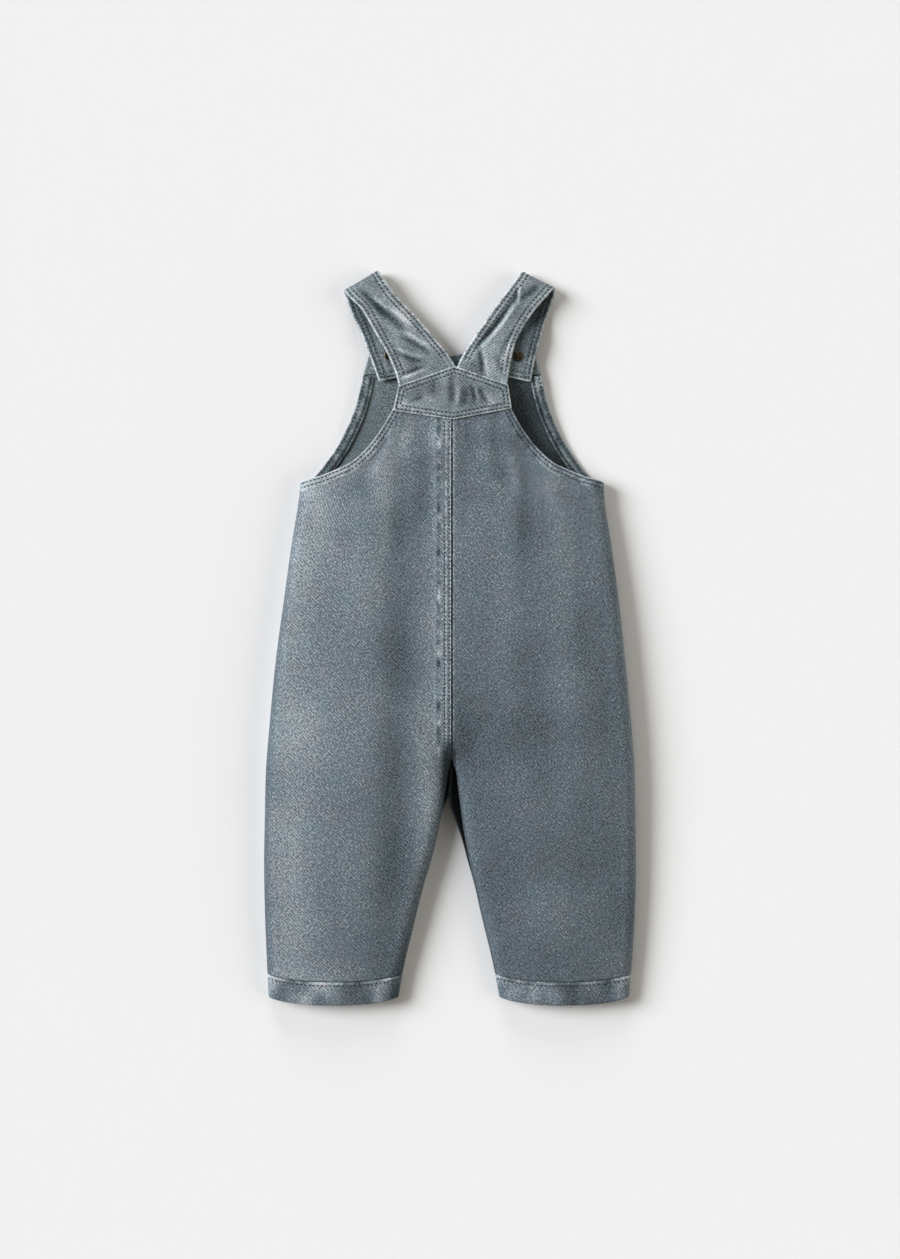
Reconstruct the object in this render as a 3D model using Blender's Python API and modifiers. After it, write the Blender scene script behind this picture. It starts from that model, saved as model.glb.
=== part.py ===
"""Toddler's dungarees laid flat on a table, front side down and straps away from the hems.

Metres in Blender, millimetres in the tables below. +X runs across the back to its right, +Y from
the hems to the straps, and +Z up, away from the table. The origin lies on the table under the
middle of the garment. Each cloth piece is an open surface that follows its outer skin, with
a wall grown inwards. Two surfaces carry the garment: the front, flat on the table, and the back,
crowned above it. The pieces that lie on another piece are made from its surface, moved out.
"""
import math
from collections import namedtuple

import bmesh
import bpy
import numpy as np

MM = 0.001
COLLECTION_NAME = "kids_dungarees"
CUTTERS_NAME = "kids_dungarees_cutters"

# Cloth
CLOTH = 1.1                   # one layer of denim with its seam bulk
DOUBLE = 2.2                  # straps and hems are two layers
GAP = 0.3                     # between neighbours at every seam
EDGE_TO_EDGE = 0.4            # side and inside-leg seams, whose walls lean together inside

# Plan of the garment
CENTRE_X = 1.5                # centre-back and centre-front seams
UNDERARM_Y = 118.2            # where the side seams end in the armholes
CROTCH_Y = -95.0
BLEND_Y = 40.0                # above this the grid turns towards the armhole and the top edge
HEM_MIDDLE_Y = -279.4         # lowest point of each hem
HEM_LIFT = 5.5                # how much higher the hem's two ends are than its middle
HEM_BAND = 18.0
HEM_BLEND_Y = -200.0          # the hem's curve dies out here

# Section of the flattened tubes
SEAM_SHARE = 0.42             # height of side and inside-leg seams, as a share of the total height
SHOULDER_SHARE = 0.78         # the back wall reaches this share of its rise at its shoulder
SHOULDER_RADIUS = 9.0
CROWN_REACH = 55.0
UNDER_RADIUS = 5.5            # the front wall turns under within this distance
CROTCH_RADIUS = 18.0
UNDER_CROTCH_RADIUS = 9.0
CROTCH_REACH = 45.0           # how far below the crotch its wide radius fades out

# Bib, yoke and straps, height above the table
BIB_LIFT = 3.3                # the button caps hold the bib up
BIB_LIFT_FROM = 125.0
BIB_LIFT_TO = 205.0
YOKE_TOP = 13.8
FACING_DEPTH = 25.0
STRIP_WIDTH = 8.5
STRIP_TOP_Y = 200.0

# Buttons
CAP_RADIUS = 8.5
CAP_HEIGHT = 3.0
SHANK_RADIUS = 1.9
TACK_RADIUS = 3.6
TACK_BOTTOM = 8.6
TACK_TOP = 9.4
SHANK_HOLE_RADIUS = 2.3
BUTTONHOLE_LENGTH = 15.0

Side = namedtuple("Side", "y left right height")
SIDES = [
    Side(-282.0, -137.0, 135.0, 13.0),
    Side(-272.0, -138.0, 136.2, 13.4),
    Side(-245.0, -139.4, 138.6, 15.0),
    Side(-209.0, -140.8, 140.6, 16.6),
    Side(-172.0, -141.4, 141.4, 17.8),
    Side(-136.0, -140.8, 141.0, 18.8),
    Side(-99.0, -139.8, 140.2, 19.6),
    Side(-63.0, -136.9, 137.6, 20.0),
    Side(-17.0, -132.4, 133.2, 20.0),
    Side(28.0, -126.4, 128.4, 19.2),
    Side(74.0, -120.0, 122.2, 17.6),
    Side(101.0, -115.6, 118.0, 16.2),
    Side(118.2, -113.7, 116.7, 15.2),
    Side(146.0, -113.7, 116.7, 13.2),
    Side(163.0, -113.7, 116.7, 12.4),
    Side(230.0, -113.7, 116.7, 12.4),
]

Leg = namedtuple("Leg", "y left right")
INNER_LEGS = [
    Leg(-282.0, -40.4, 39.2),
    Leg(-263.0, -37.4, 35.6),
    Leg(-245.0, -33.8, 31.9),
    Leg(-227.0, -29.4, 27.6),
    Leg(-209.0, -25.0, 23.2),
    Leg(-190.0, -20.2, 19.0),
    Leg(-163.0, -12.4, 13.2),
    Leg(-145.0, -8.4, 10.0),
    Leg(-127.0, -4.8, 7.6),
    Leg(-111.0, -2.4, 5.4),
    Leg(-102.0, -1.0, 4.2),
    Leg(-95.0, 1.35, 1.65),
]

Edge = namedtuple("Edge", "out y")       # out: distance from the centre seam
BACK_ARMHOLE = [
    Edge(115.2, 118.2),
    Edge(108.5, 120.3),
    Edge(99.8, 122.8),
    Edge(88.8, 127.2),
    Edge(77.0, 132.8),
    Edge(66.0, 142.4),
    Edge(57.0, 153.3),
    Edge(50.0, 164.3),
    Edge(45.4, 172.6),
    Edge(41.6, 180.0),
]
BACK_TOP = [Edge(41.6, 180.0), Edge(0.0, 173.0)]
FRONT_ARMHOLE = [
    Edge(115.2, 118.2),
    Edge(106.0, 121.8),
    Edge(95.3, 134.0),
    Edge(86.5, 147.0),
    Edge(80.0, 159.5),
    Edge(74.8, 171.5),
    Edge(71.5, 182.0),
    Edge(69.0, 193.0),
    Edge(66.5, 205.0),
    Edge(60.3, 225.5),
]
FRONT_TOP = [Edge(60.3, 225.5), Edge(51.0, 226.3), Edge(30.0, 221.0), Edge(0.0, 214.7)]

YOKE_BOTTOM = [(-43.3, 172.1), (1.9, 165.3), (46.8, 173.7)]
YOKE_TOP_EDGE = [(-39.1, 190.8), (3.4, 206.0), (44.1, 191.9)]

# A strap is a ribbon rolled over a fold line. Each row is one section, given by its two edges:
# "along" the fold line towards the garment's centre, and "down" from the fold's outermost line.
Fold = namedtuple("Fold", "x y towards_x towards_y")
Section = namedtuple("Section", "inner_along inner_down outer_along outer_down z")
STRAPS = {
    "left": {
        "fold": Fold(-67.5, 271.9, 0.859, 0.511),
        "back": [
            Section(22.5, 103.0, -19.0, 92.0, 11.3),
            Section(27.5, 93.2, -17.0, 84.5, 11.3),
            Section(27.6, 83.5, -14.5, 76.8, 11.3),
            Section(25.6, 69.6, -12.0, 60.0, 11.2),
            Section(22.2, 48.5, -11.7, 44.8, 11.1),
            Section(16.2, 21.0, -11.2, 22.0, 11.0),
            Section(15.2, 5.8, -15.0, 5.8, 10.9),
        ],
        "front": [
            Section(14.4, 5.8, -16.6, 5.8, 1.5),
            Section(12.2, 17.8, -19.1, 17.8, 2.0),
            Section(10.6, 30.5, -20.3, 30.5, 4.2),
            Section(8.6, 43.0, -22.2, 43.0, 7.2),
            Section(6.3, 56.8, -24.7, 56.8, 7.2),
            Section(2.1, 84.0, -27.9, 73.3, 7.2),
        ],
        "button": (-46.5, 214.5),
    },
    "right": {
        "fold": Fold(67.6, 272.1, -0.892, 0.453),
        "back": [
            Section(21.7, 95.0, -17.0, 90.0, 11.3),
            Section(25.6, 85.1, -14.3, 81.8, 11.3),
            Section(25.5, 77.3, -10.5, 70.0, 11.3),
            Section(24.2, 63.0, -7.0, 57.0, 11.2),
            Section(22.5, 50.1, -5.6, 47.0, 11.1),
            Section(18.8, 25.0, -7.4, 24.5, 11.0),
            Section(15.2, 5.8, -12.0, 5.8, 10.9),
        ],
        "front": [
            Section(14.0, 5.8, -15.9, 5.8, 1.5),
            Section(12.0, 14.0, -17.1, 14.0, 1.8),
            Section(10.0, 28.2, -19.2, 28.2, 4.2),
            Section(7.2, 42.0, -21.8, 42.0, 7.2),
            Section(4.6, 55.0, -24.6, 55.0, 7.2),
            Section(-0.7, 79.9, -29.7, 72.3, 7.2),
        ],
        "button": (52.0, 213.5),
    },
}

# Grid counts
SIDE_ROUNDING = (0.0, 0.0006, 0.007, 0.02, 0.05)   # columns bunched where the wall turns at an edge
ARMHOLE_COLUMNS = 7
TOP_COLUMNS = 3
LEG_ROWS = 8
MIDDLE_ROWS = 5
UPPER_ROWS = 6
HEM_ROWS = 3
YOKE_COLUMNS = 10
YOKE_ROWS = 4
STRIP_COLUMNS = 16
FACING_COLUMNS = 14
STRAP_FLAT_ROWS = 12
STRAP_FOLD_ROWS = 8
STRAP_COLUMNS = 3
TURNED_STEPS = 20

DENIM = (0.155, 0.205, 0.235, 1.0)
DENIM_PALE = (0.22, 0.27, 0.295, 1.0)
BRASS = (0.42, 0.29, 0.13, 1.0)


def clamp(value):
    return np.clip(value, 0.0, 1.0)


def ease(value):
    """Goes softly from 0 to 1."""
    share = clamp(value)
    return share * share * (3.0 - 2.0 * share)


def quarter_round(value):
    """Rises from 0 to 1 as a quarter of a circle does, straight up at first."""
    return np.sqrt(np.maximum(0.0, 1.0 - (1.0 - clamp(value)) ** 2))


def through(at, places, values):
    """A smooth curve through the values at rising places, read at one or more places."""
    places = np.asarray(places, dtype=float)
    values = np.asarray(values, dtype=float)
    steps = np.diff(values) / np.diff(places)
    slopes = np.concatenate(([steps[0]], 0.5 * (steps[:-1] + steps[1:]), [steps[-1]]))
    turning = np.concatenate(([False], steps[:-1] * steps[1:] <= 0.0, [False]))
    slopes[turning] = 0.0
    at = np.clip(at, places[0], places[-1])
    index = np.clip(np.searchsorted(places, at, side="right") - 1, 0, len(places) - 2)
    width = places[index + 1] - places[index]
    t = (at - places[index]) / width
    return ((1 + 2 * t) * (1 - t) ** 2 * values[index] + t * (1 - t) ** 2 * width * slopes[index]
            + t * t * (3 - 2 * t) * values[index + 1]
            + t * t * (t - 1) * width * slopes[index + 1])


def column_of(rows, name, at):
    """A named column of a table whose first column is y."""
    return through(at, [row.y for row in rows], [getattr(row, name) for row in rows])


def hand(side):
    """-1 on the left, +1 on the right."""
    return -1.0 if side == "left" else 1.0


def side_x(side, y):
    return column_of(SIDES, side, y)


def inner_x(side, y):
    """The centre seam's edge above the crotch, and the inside-leg edge below it."""
    seam = CENTRE_X + hand(side) * GAP / 2
    return np.where(y >= CROTCH_Y, seam, column_of(INNER_LEGS, side, y))


def distances(side, x, y):
    """Distance from the side seam, and from the inside leg or the crotch."""
    from_side = np.abs(x - side_x(side, y))
    beside_leg = np.abs(x - inner_x(side, y))
    above_crotch = np.hypot(x - CENTRE_X - hand(side) * GAP / 2, y - CROTCH_Y)
    return from_side, np.where(y >= CROTCH_Y, above_crotch, beside_leg)


def back_z(side, x, y):
    """Outer skin of the back: round at the seams, a broad shoulder, then a slow crown."""
    height = column_of(SIDES, "height", y)
    from_side, from_inner = distances(side, x, y)
    crotch = ease((y - CROTCH_Y + CROTCH_REACH) / CROTCH_REACH)
    inner_radius = SHOULDER_RADIUS + (CROTCH_RADIUS - SHOULDER_RADIUS) * crotch
    crown_share = 1.0 - SHOULDER_SHARE
    rise = SHOULDER_SHARE * quarter_round(from_side / SHOULDER_RADIUS) \
        + crown_share * ease(from_side / CROWN_REACH)
    rise = rise * (SHOULDER_SHARE * quarter_round(from_inner / inner_radius)
                   + crown_share * ease(from_inner / CROWN_REACH))
    edge = SEAM_SHARE * height + EDGE_TO_EDGE / 2
    return edge + (height - edge) * rise


def front_z(side, x, y):
    """Outer skin of the front: on the table, turned up at the seams, and lifted at the bib."""
    height = column_of(SIDES, "height", y)
    from_side, from_inner = distances(side, x, y)
    crotch = ease((y - CROTCH_Y + CROTCH_REACH) / CROTCH_REACH)
    inner_radius = UNDER_RADIUS + (UNDER_CROTCH_RADIUS - UNDER_RADIUS) * crotch
    rise = 1.0 - quarter_round(from_side / UNDER_RADIUS) * quarter_round(from_inner / inner_radius)
    lift = BIB_LIFT * ease((y - BIB_LIFT_FROM) / (BIB_LIFT_TO - BIB_LIFT_FROM))
    return (SEAM_SHARE * height - EDGE_TO_EDGE / 2) * rise + lift


def top_line(side, armhole, top):
    """The armhole and the top edge as one line, and the share of it that is armhole."""
    edges = armhole + top[1:]
    x = np.array([CENTRE_X + hand(side) * max(edge.out, GAP / 2) for edge in edges])
    y = np.array([edge.y for edge in edges])
    run = np.concatenate(([0.0], np.cumsum(np.hypot(np.diff(x), np.diff(y)))))
    share = run / run[-1]
    corner = len(armhole) - 1
    return x, y, share, share[corner], corner


def along_top(line, u):
    """A point of the top line, smooth on either side of its corner."""
    x, y, share, corner_share, corner = line
    u = np.asarray(u, dtype=float)
    first = slice(0, corner + 1)
    second = slice(corner, None)
    on_armhole = u <= corner_share
    px = np.where(on_armhole, through(u, share[first], x[first]), through(u, share[second], x[second]))
    py = np.where(on_armhole, through(u, share[first], y[first]), through(u, share[second], y[second]))
    return px, py


def hem_y(u, above):
    """Height of a line that runs with the hem, at a distance above its edge."""
    return HEM_MIDDLE_Y + above + HEM_LIFT * np.abs(2.0 * np.asarray(u) - 1.0) ** 2.5


def body_plan(side, line, u, v):
    """Plan of a body panel: v from 0 at the hem to 1 at the blend line, then to 2 at the top."""
    bottom = hem_y(u, HEM_BAND + GAP)
    level = HEM_BLEND_Y + (BLEND_Y - HEM_BLEND_Y) * (v - 0.25) / 0.75
    low = bottom + (HEM_BLEND_Y - bottom) * v / 0.25
    y = np.where(v < 0.25, low, level)
    y = np.minimum(y, BLEND_Y)
    x = side_x(side, y) + (inner_x(side, y) - side_x(side, y)) * u
    top_x, top_y = along_top(line, u)
    share = clamp(v - 1.0)
    raised_y = y + (top_y - y) * share
    raised_x = x + (top_x - x) * share
    straight = side_x(side, BLEND_Y) + (side_x(side, UNDERARM_Y) - side_x(side, BLEND_Y)) * share
    bulge = (side_x(side, np.minimum(raised_y, UNDERARM_Y)) - straight) * (1.0 - u) ** 2
    return np.where(v > 1.0, raised_x + bulge, x), np.where(v > 1.0, raised_y, y)


def crotch_v():
    """The row of body_plan that runs through the crotch."""
    return 0.25 + 0.75 * (CROTCH_Y - HEM_BLEND_Y) / (BLEND_Y - HEM_BLEND_Y)


def panel_columns(corner_share):
    """Columns bunched at the side seam and at the inside leg, with one at the corner."""
    start = SIDE_ROUNDING[-1]
    armhole = np.linspace(start, corner_share, ARMHOLE_COLUMNS + 1)
    top = np.linspace(corner_share, 1.0 - start, TOP_COLUMNS + 1)
    ends = [1.0 - share for share in reversed(SIDE_ROUNDING)]
    return np.concatenate((SIDE_ROUNDING[:-1], armhole, top[1:-1], ends))


def panel_rows():
    leg = np.linspace(0.0, crotch_v(), LEG_ROWS + 1)
    middle = crotch_v() + (1.0 - crotch_v()) * np.linspace(0.0, 1.0, MIDDLE_ROWS + 1) ** 1.4
    upper = np.linspace(1.0, 2.0, UPPER_ROWS + 1)
    return np.concatenate((leg, middle[1:], upper[1:]))


def grid_object(name, columns, rows, place, wall, material, outward_up, tube=False):
    """A grid moved by place(u, v) in mm, with a wall grown inwards from it."""
    mesh = bpy.data.meshes.new(name)
    form = bmesh.new()
    across = len(columns) - 1
    down = len(rows) - 1
    bmesh.ops.create_grid(form, x_segments=across, y_segments=down, size=0.5)
    for vert in form.verts:
        u = columns[round((vert.co.x + 0.5) * across)]
        v = rows[round((vert.co.y + 0.5) * down)]
        vert.co = [float(value) * MM for value in place(u, v)]
    if not outward_up:
        bmesh.ops.reverse_faces(form, faces=form.faces)
    if tube:
        bmesh.ops.remove_doubles(form, verts=form.verts, dist=0.00001)
    form.to_mesh(mesh)
    form.free()
    mesh.shade_smooth()
    mesh.set_sharp_from_angle(angle=math.radians(40.0))
    mesh.materials.append(material)
    piece = bpy.data.objects.new(name, mesh)
    bpy.data.collections[COLLECTION_NAME].objects.link(piece)
    solid = piece.modifiers.new("wall", "SOLIDIFY")
    solid.thickness = wall * MM
    solid.offset = -1.0
    solid.use_quality_normals = True
    return piece


def cloth_material(name, colour):
    material = bpy.data.materials.new(name)
    material.use_nodes = True
    shader = material.node_tree.nodes["Principled BSDF"]
    shader.inputs["Base Color"].default_value = colour
    shader.inputs["Roughness"].default_value = 0.9
    return material


def metal_material(name, colour):
    material = bpy.data.materials.new(name)
    material.use_nodes = True
    shader = material.node_tree.nodes["Principled BSDF"]
    shader.inputs["Base Color"].default_value = colour
    shader.inputs["Metallic"].default_value = 1.0
    shader.inputs["Roughness"].default_value = 0.4
    return material


def back_panel(side, material):
    line = top_line(side, BACK_ARMHOLE, BACK_TOP)

    def place(u, v):
        x, y = body_plan(side, line, u, v)
        return x, y, back_z(side, x, y)

    return grid_object(f"back_{side}", panel_columns(line[3]), panel_rows(), place, CLOTH,
                       material, outward_up=(side == "left"))


def front_panel(side, material):
    line = top_line(side, FRONT_ARMHOLE, FRONT_TOP)

    def place(u, v):
        x, y = body_plan(side, line, u, v)
        return x, y, front_z(side, x, y)

    return grid_object(f"front_{side}", panel_columns(line[3]), panel_rows(), place, CLOTH,
                       material, outward_up=(side == "right"))


def hem(side, material):
    """The turned-up hem, one ring of doubled cloth round the leg."""
    across = panel_columns(0.7)
    around = np.concatenate((across, 2.0 - across[::-1][1:]))

    def place(turn, v):
        over = turn <= 1.0
        u = turn if over else 2.0 - turn
        y = hem_y(u, HEM_BAND * v)
        x = side_x(side, y) + (inner_x(side, y) - side_x(side, y)) * u
        if u in (0.0, 1.0):
            return x, y, SEAM_SHARE * column_of(SIDES, "height", y)
        return x, y, back_z(side, x, y) if over else front_z(side, x, y)

    return grid_object(f"hem_{side}", around, np.linspace(0.0, 1.0, HEM_ROWS + 1), place, DOUBLE,
                       material, outward_up=(side == "left"), tube=True)


def yoke(material):
    """The six-sided piece over the strap ends and the tops of both back panels."""
    def place(u, v):
        places = [0.0, 0.5, 1.0]
        low = [np.interp(u, places, [point[i] for point in YOKE_BOTTOM]) for i in range(2)]
        high = [np.interp(u, places, [point[i] for point in YOKE_TOP_EDGE]) for i in range(2)]
        return low[0] + (high[0] - low[0]) * v, low[1] + (high[1] - low[1]) * v, YOKE_TOP

    return grid_object("yoke", np.linspace(0.0, 1.0, YOKE_COLUMNS + 1),
                       np.linspace(0.0, 1.0, YOKE_ROWS + 1), place, CLOTH, material,
                       outward_up=True)


def inside_front(x, y):
    """The skin of a piece that lies on the front's inner side."""
    side = "left" if x < CENTRE_X else "right"
    return front_z(side, x, y) + CLOTH + GAP + CLOTH


def armhole_strip(side, material):
    """Facing strip on the inner side of the front, along its armhole."""
    line = top_line(side, FRONT_ARMHOLE, FRONT_TOP)
    shares = np.linspace(0.0, line[3], 200)
    heights = along_top(line, shares)[1]
    first = float(np.interp(UNDERARM_Y + 4.5, heights, shares))
    last = float(np.interp(STRIP_TOP_Y - GAP, heights, shares))

    def place(u, v):
        share = first + (last - first) * u
        x, y = along_top(line, share)
        ahead_x, ahead_y = along_top(line, share + 0.01)
        length = math.hypot(ahead_x - x, ahead_y - y)
        inward = (-hand(side) * (ahead_y - y) / length, -abs(ahead_x - x) / length)
        x = x + inward[0] * STRIP_WIDTH * v
        y = y + inward[1] * STRIP_WIDTH * v
        return x, y, inside_front(x, y)

    return grid_object(f"armhole_facing_{side}", np.linspace(0.0, 1.0, STRIP_COLUMNS + 1),
                       np.array([0.0, 0.5, 1.0]), place, CLOTH, material,
                       outward_up=(side == "right"))


def bib_facing(material):
    """Facing band on the bib's inner side, from edge to edge under its top edge."""
    lines = {side: top_line(side, FRONT_ARMHOLE, FRONT_TOP) for side in ("left", "right")}

    def edge_at(side, y):
        line = lines[side]
        rows = slice(0, line[4] + 1)
        return float(through(y, line[1][rows], line[0][rows]))

    def place(u, v):
        side = "left" if u < 0.5 else "right"
        line = lines[side]
        out = abs(2.0 * u - 1.0)
        top_x, top_y = along_top(line, line[3] + (1.0 - line[3]) * (1.0 - out))
        if out == 0.0:
            top_x = CENTRE_X
        low_y = top_y - FACING_DEPTH
        low_x = CENTRE_X + (edge_at(side, STRIP_TOP_Y) - CENTRE_X) * out
        low_y = low_y + (STRIP_TOP_Y - low_y) * out ** 4
        x = low_x + (top_x - low_x) * v
        y = low_y + (top_y - low_y) * v
        return x, y, inside_front(x, y)

    return grid_object("bib_facing", np.linspace(0.0, 1.0, FACING_COLUMNS + 1),
                       np.linspace(0.0, 1.0, 4), place, CLOTH, material, outward_up=True)


def strap(side, material):
    """A ribbon from under the yoke, over its fold and down inside the bib."""
    spec = STRAPS[side]
    fold = spec["fold"]
    back = spec["back"]
    front = spec["front"]
    top_z = back[-1].z
    radius = (top_z - front[0].z) / 2
    axis_down = back[-1].inner_down
    back_run = [0.5 * (row.inner_down + row.outer_down) - axis_down for row in back]
    front_run = [0.5 * (row.inner_down + row.outer_down) - axis_down for row in front]
    down_x = -hand(side) * abs(fold.towards_y)
    down_y = -abs(fold.towards_x)

    def section(rows, runs, run):
        order = np.argsort(runs)
        return [float(through(run, np.array(runs)[order], np.array([row[i] for row in rows])[order]))
                for i in range(len(Section._fields))]

    def point(along, down, z):
        return (fold.x + along * fold.towards_x + down * down_x,
                fold.y + along * fold.towards_y + down * down_y, z)

    def place(u, v):
        """v: 0 to 1 down the back layer to the fold, 1 to 2 round it, 2 to 3 down the front."""
        if v <= 1.0:
            row = section(back, back_run, back_run[0] * (1.0 - v))
            turn = 0.0
        elif v >= 2.0:
            row = section(front, front_run, front_run[-1] * (v - 2.0))
            turn = math.pi
        else:
            row = [back[-1][i] + (front[0][i] - back[-1][i]) * (v - 1.0) for i in range(5)]
            turn = math.pi * (v - 1.0)
        along = row[2] + (row[0] - row[2]) * u
        down = row[3] + (row[1] - row[3]) * u
        centre_z = row[4]
        if 0.0 < turn < math.pi:
            centre_z = top_z - radius + radius * math.cos(turn)
            down = axis_down - radius * math.sin(turn)
        return point(along, down, centre_z)

    rows = np.concatenate((np.linspace(0.0, 1.0, STRAP_FLAT_ROWS + 1),
                           np.linspace(1.0, 2.0, STRAP_FOLD_ROWS + 1)[1:],
                           np.linspace(2.0, 3.0, STRAP_FLAT_ROWS + 1)[1:]))
    piece = grid_object(f"strap_{side}", np.linspace(0.0, 1.0, STRAP_COLUMNS + 1), rows, place,
                        DOUBLE, material, outward_up=(side == "left"))
    piece.modifiers["wall"].offset = 0.0
    return piece


def button(side, material):
    """Tack button: cap on the table, shank through bib and strap, tack inside the strap."""
    x, y = STRAPS[side]["button"]
    cap_edge = CAP_HEIGHT / 2
    profile = [
        (0.0, TACK_TOP), (TACK_RADIUS - 0.6, TACK_TOP), (TACK_RADIUS, TACK_TOP - 0.4),
        (TACK_RADIUS, TACK_BOTTOM), (SHANK_RADIUS, TACK_BOTTOM), (SHANK_RADIUS, CAP_HEIGHT),
        (CAP_RADIUS - 1.2, CAP_HEIGHT), (CAP_RADIUS, cap_edge), (CAP_RADIUS - 0.8, 0.3),
        (CAP_RADIUS - 2.0, 0.0), (0.0, 0.0),
    ]
    mesh = bpy.data.meshes.new(f"button_{side}")
    edges = [(i, i + 1) for i in range(len(profile) - 1)]
    mesh.from_pydata([(r * MM, 0.0, z * MM) for r, z in profile], edges, [])
    mesh.materials.append(material)
    piece = bpy.data.objects.new(f"button_{side}", mesh)
    piece.location = (x * MM, y * MM, 0.0)
    bpy.data.collections[COLLECTION_NAME].objects.link(piece)
    turn = piece.modifiers.new("turn", "SCREW")
    turn.axis = "Z"
    turn.steps = TURNED_STEPS
    turn.render_steps = TURNED_STEPS
    turn.use_merge_vertices = True
    turn.merge_threshold = 0.00001
    return piece


def shank_cutter(side):
    """Round hole that the shank needs in the strap end."""
    x, y = STRAPS[side]["button"]
    bpy.ops.mesh.primitive_cylinder_add(vertices=TURNED_STEPS, radius=SHANK_HOLE_RADIUS * MM,
                                        depth=4.0 * MM, location=(x * MM, y * MM, 7.2 * MM))
    return as_cutter(f"cut_shank_{side}")


def buttonhole_cutter(side):
    """Slot in the bib and its facing, opened by the shank."""
    x, y = STRAPS[side]["button"]
    bpy.ops.mesh.primitive_cylinder_add(vertices=TURNED_STEPS, radius=SHANK_HOLE_RADIUS * MM,
                                        depth=4.0 * MM, location=(x * MM, y * MM, 4.5 * MM))
    cutter = as_cutter(f"cut_buttonhole_{side}")
    stretch = BUTTONHOLE_LENGTH / 2 - SHANK_HOLE_RADIUS
    for vert in cutter.data.vertices:
        vert.co.y += math.copysign(stretch * MM, vert.co.y) if abs(vert.co.y) > 0.00001 else 0.0
    return cutter


def as_cutter(name):
    cutter = bpy.context.object
    cutter.name = name
    for collection in cutter.users_collection:
        collection.objects.unlink(cutter)
    bpy.data.collections[CUTTERS_NAME].objects.link(cutter)
    cutter.hide_render = True
    cutter.display_type = "WIRE"
    return cutter


def cut(piece, cutter):
    modifier = piece.modifiers.new(cutter.name, "BOOLEAN")
    modifier.operation = "DIFFERENCE"
    modifier.solver = "EXACT"
    modifier.object = cutter


def clear_scene():
    for item in list(bpy.data.objects):
        bpy.data.objects.remove(item)
    for name in (COLLECTION_NAME, CUTTERS_NAME):
        bpy.context.scene.collection.children.link(bpy.data.collections.new(name))


def main():
    clear_scene()
    denim = cloth_material("denim", DENIM)
    denim_pale = cloth_material("denim_pale", DENIM_PALE)
    brass = metal_material("brass", BRASS)
    yoke(denim_pale)
    facing = bib_facing(denim_pale)
    for side in ("left", "right"):
        back_panel(side, denim)
        front = front_panel(side, denim)
        hem(side, denim)
        armhole_strip(side, denim_pale)
        ribbon = strap(side, denim_pale)
        button(side, brass)
        buttonhole = buttonhole_cutter(side)
        cut(front, buttonhole)
        cut(facing, buttonhole)
        cut(ribbon, shank_cutter(side))


main()
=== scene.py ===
"""Looks of a toddler's denim dungarees, laid flat on a pale floor with the front side down.

Lengths are in millimetres until a mesh is made. +X runs across the back to its right, +Y from the
hems to the straps and +Z up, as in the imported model. Each cloth piece is a fine grid laid on its
solid's form. Its relief (creases, crumple, laps, stitch grooves) moves the grid along its normals,
and a wall with a rounded rim closes it. The shaders read the cloth's own coordinates.
"""
import math
from collections import namedtuple

import bpy
import numpy as np
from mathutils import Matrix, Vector
from mathutils.bvhtree import BVHTree


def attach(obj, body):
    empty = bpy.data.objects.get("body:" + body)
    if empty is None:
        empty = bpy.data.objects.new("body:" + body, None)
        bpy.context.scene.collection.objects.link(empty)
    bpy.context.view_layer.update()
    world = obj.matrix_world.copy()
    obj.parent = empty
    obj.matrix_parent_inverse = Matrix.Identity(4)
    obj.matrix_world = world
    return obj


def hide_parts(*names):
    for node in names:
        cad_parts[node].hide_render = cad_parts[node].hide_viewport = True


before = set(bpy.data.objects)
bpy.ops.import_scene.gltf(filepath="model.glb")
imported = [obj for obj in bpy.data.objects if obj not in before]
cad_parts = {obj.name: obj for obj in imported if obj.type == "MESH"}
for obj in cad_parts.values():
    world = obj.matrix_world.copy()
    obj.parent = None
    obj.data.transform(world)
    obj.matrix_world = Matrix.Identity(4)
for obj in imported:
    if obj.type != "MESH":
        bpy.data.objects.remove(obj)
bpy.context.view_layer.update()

MM = 0.001


def table(columns, rows):
    """Rows of numbers whose columns have names."""
    row_of = namedtuple("Row", columns)
    return [row_of(*row) for row in rows]


# Cloth
CLOTH = 1.1                   # thickness of single cloth
DOUBLE = 2.2                  # hems and straps
GAP = 0.3                     # between pieces that are sewn together
EDGE_TO_EDGE = 0.4            # between the outer skins of the back and front at a side seam
FINE = 1.4                    # grid step of the back panels
COARSE = 2.4                  # grid step of the front panels
BORDER = (0.0, 1.2)           # first grid lines inside a border

# Plan of the garment
CENTRE_X = 1.5
UNDERARM_Y = 118.2
CROTCH_Y = -95.0
BLEND_Y = 40.0
HEM_MIDDLE_Y = -279.4
HEM_LIFT = 5.5
HEM_BAND = 18.0
HEM_CURVE_REACH = 61.7        # the hem's curve fades out this far above it

# Section of the flattened tubes
SEAM_SHARE = 0.42
SHOULDER_SHARE = 0.78
SHOULDER_RADIUS = 9.0
CROWN_REACH = 55.0
UNDER_RADIUS = 5.5
CROTCH_RADIUS = 18.0
UNDER_CROTCH_RADIUS = 9.0
CROTCH_REACH = 45.0

# Bib, yoke and straps
BIB_LIFT = 3.3
BIB_LIFT_FROM = 125.0
BIB_LIFT_TO = 205.0
YOKE_TOP = 13.8
YOKE_DEPTH = 30.0
YOKE_COVER_Y = 160.0          # the yoke lies over the back above this
FACING_DEPTH = 25.0
STRIP_WIDTH = 8.5
STRIP_TOP_Y = 200.0
STRAP_WIDTH = 30.0
STRAP_BACK = 95.0             # length of a strap's back layer
STRAP_FRONT = 72.0            # length of its front layer

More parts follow.
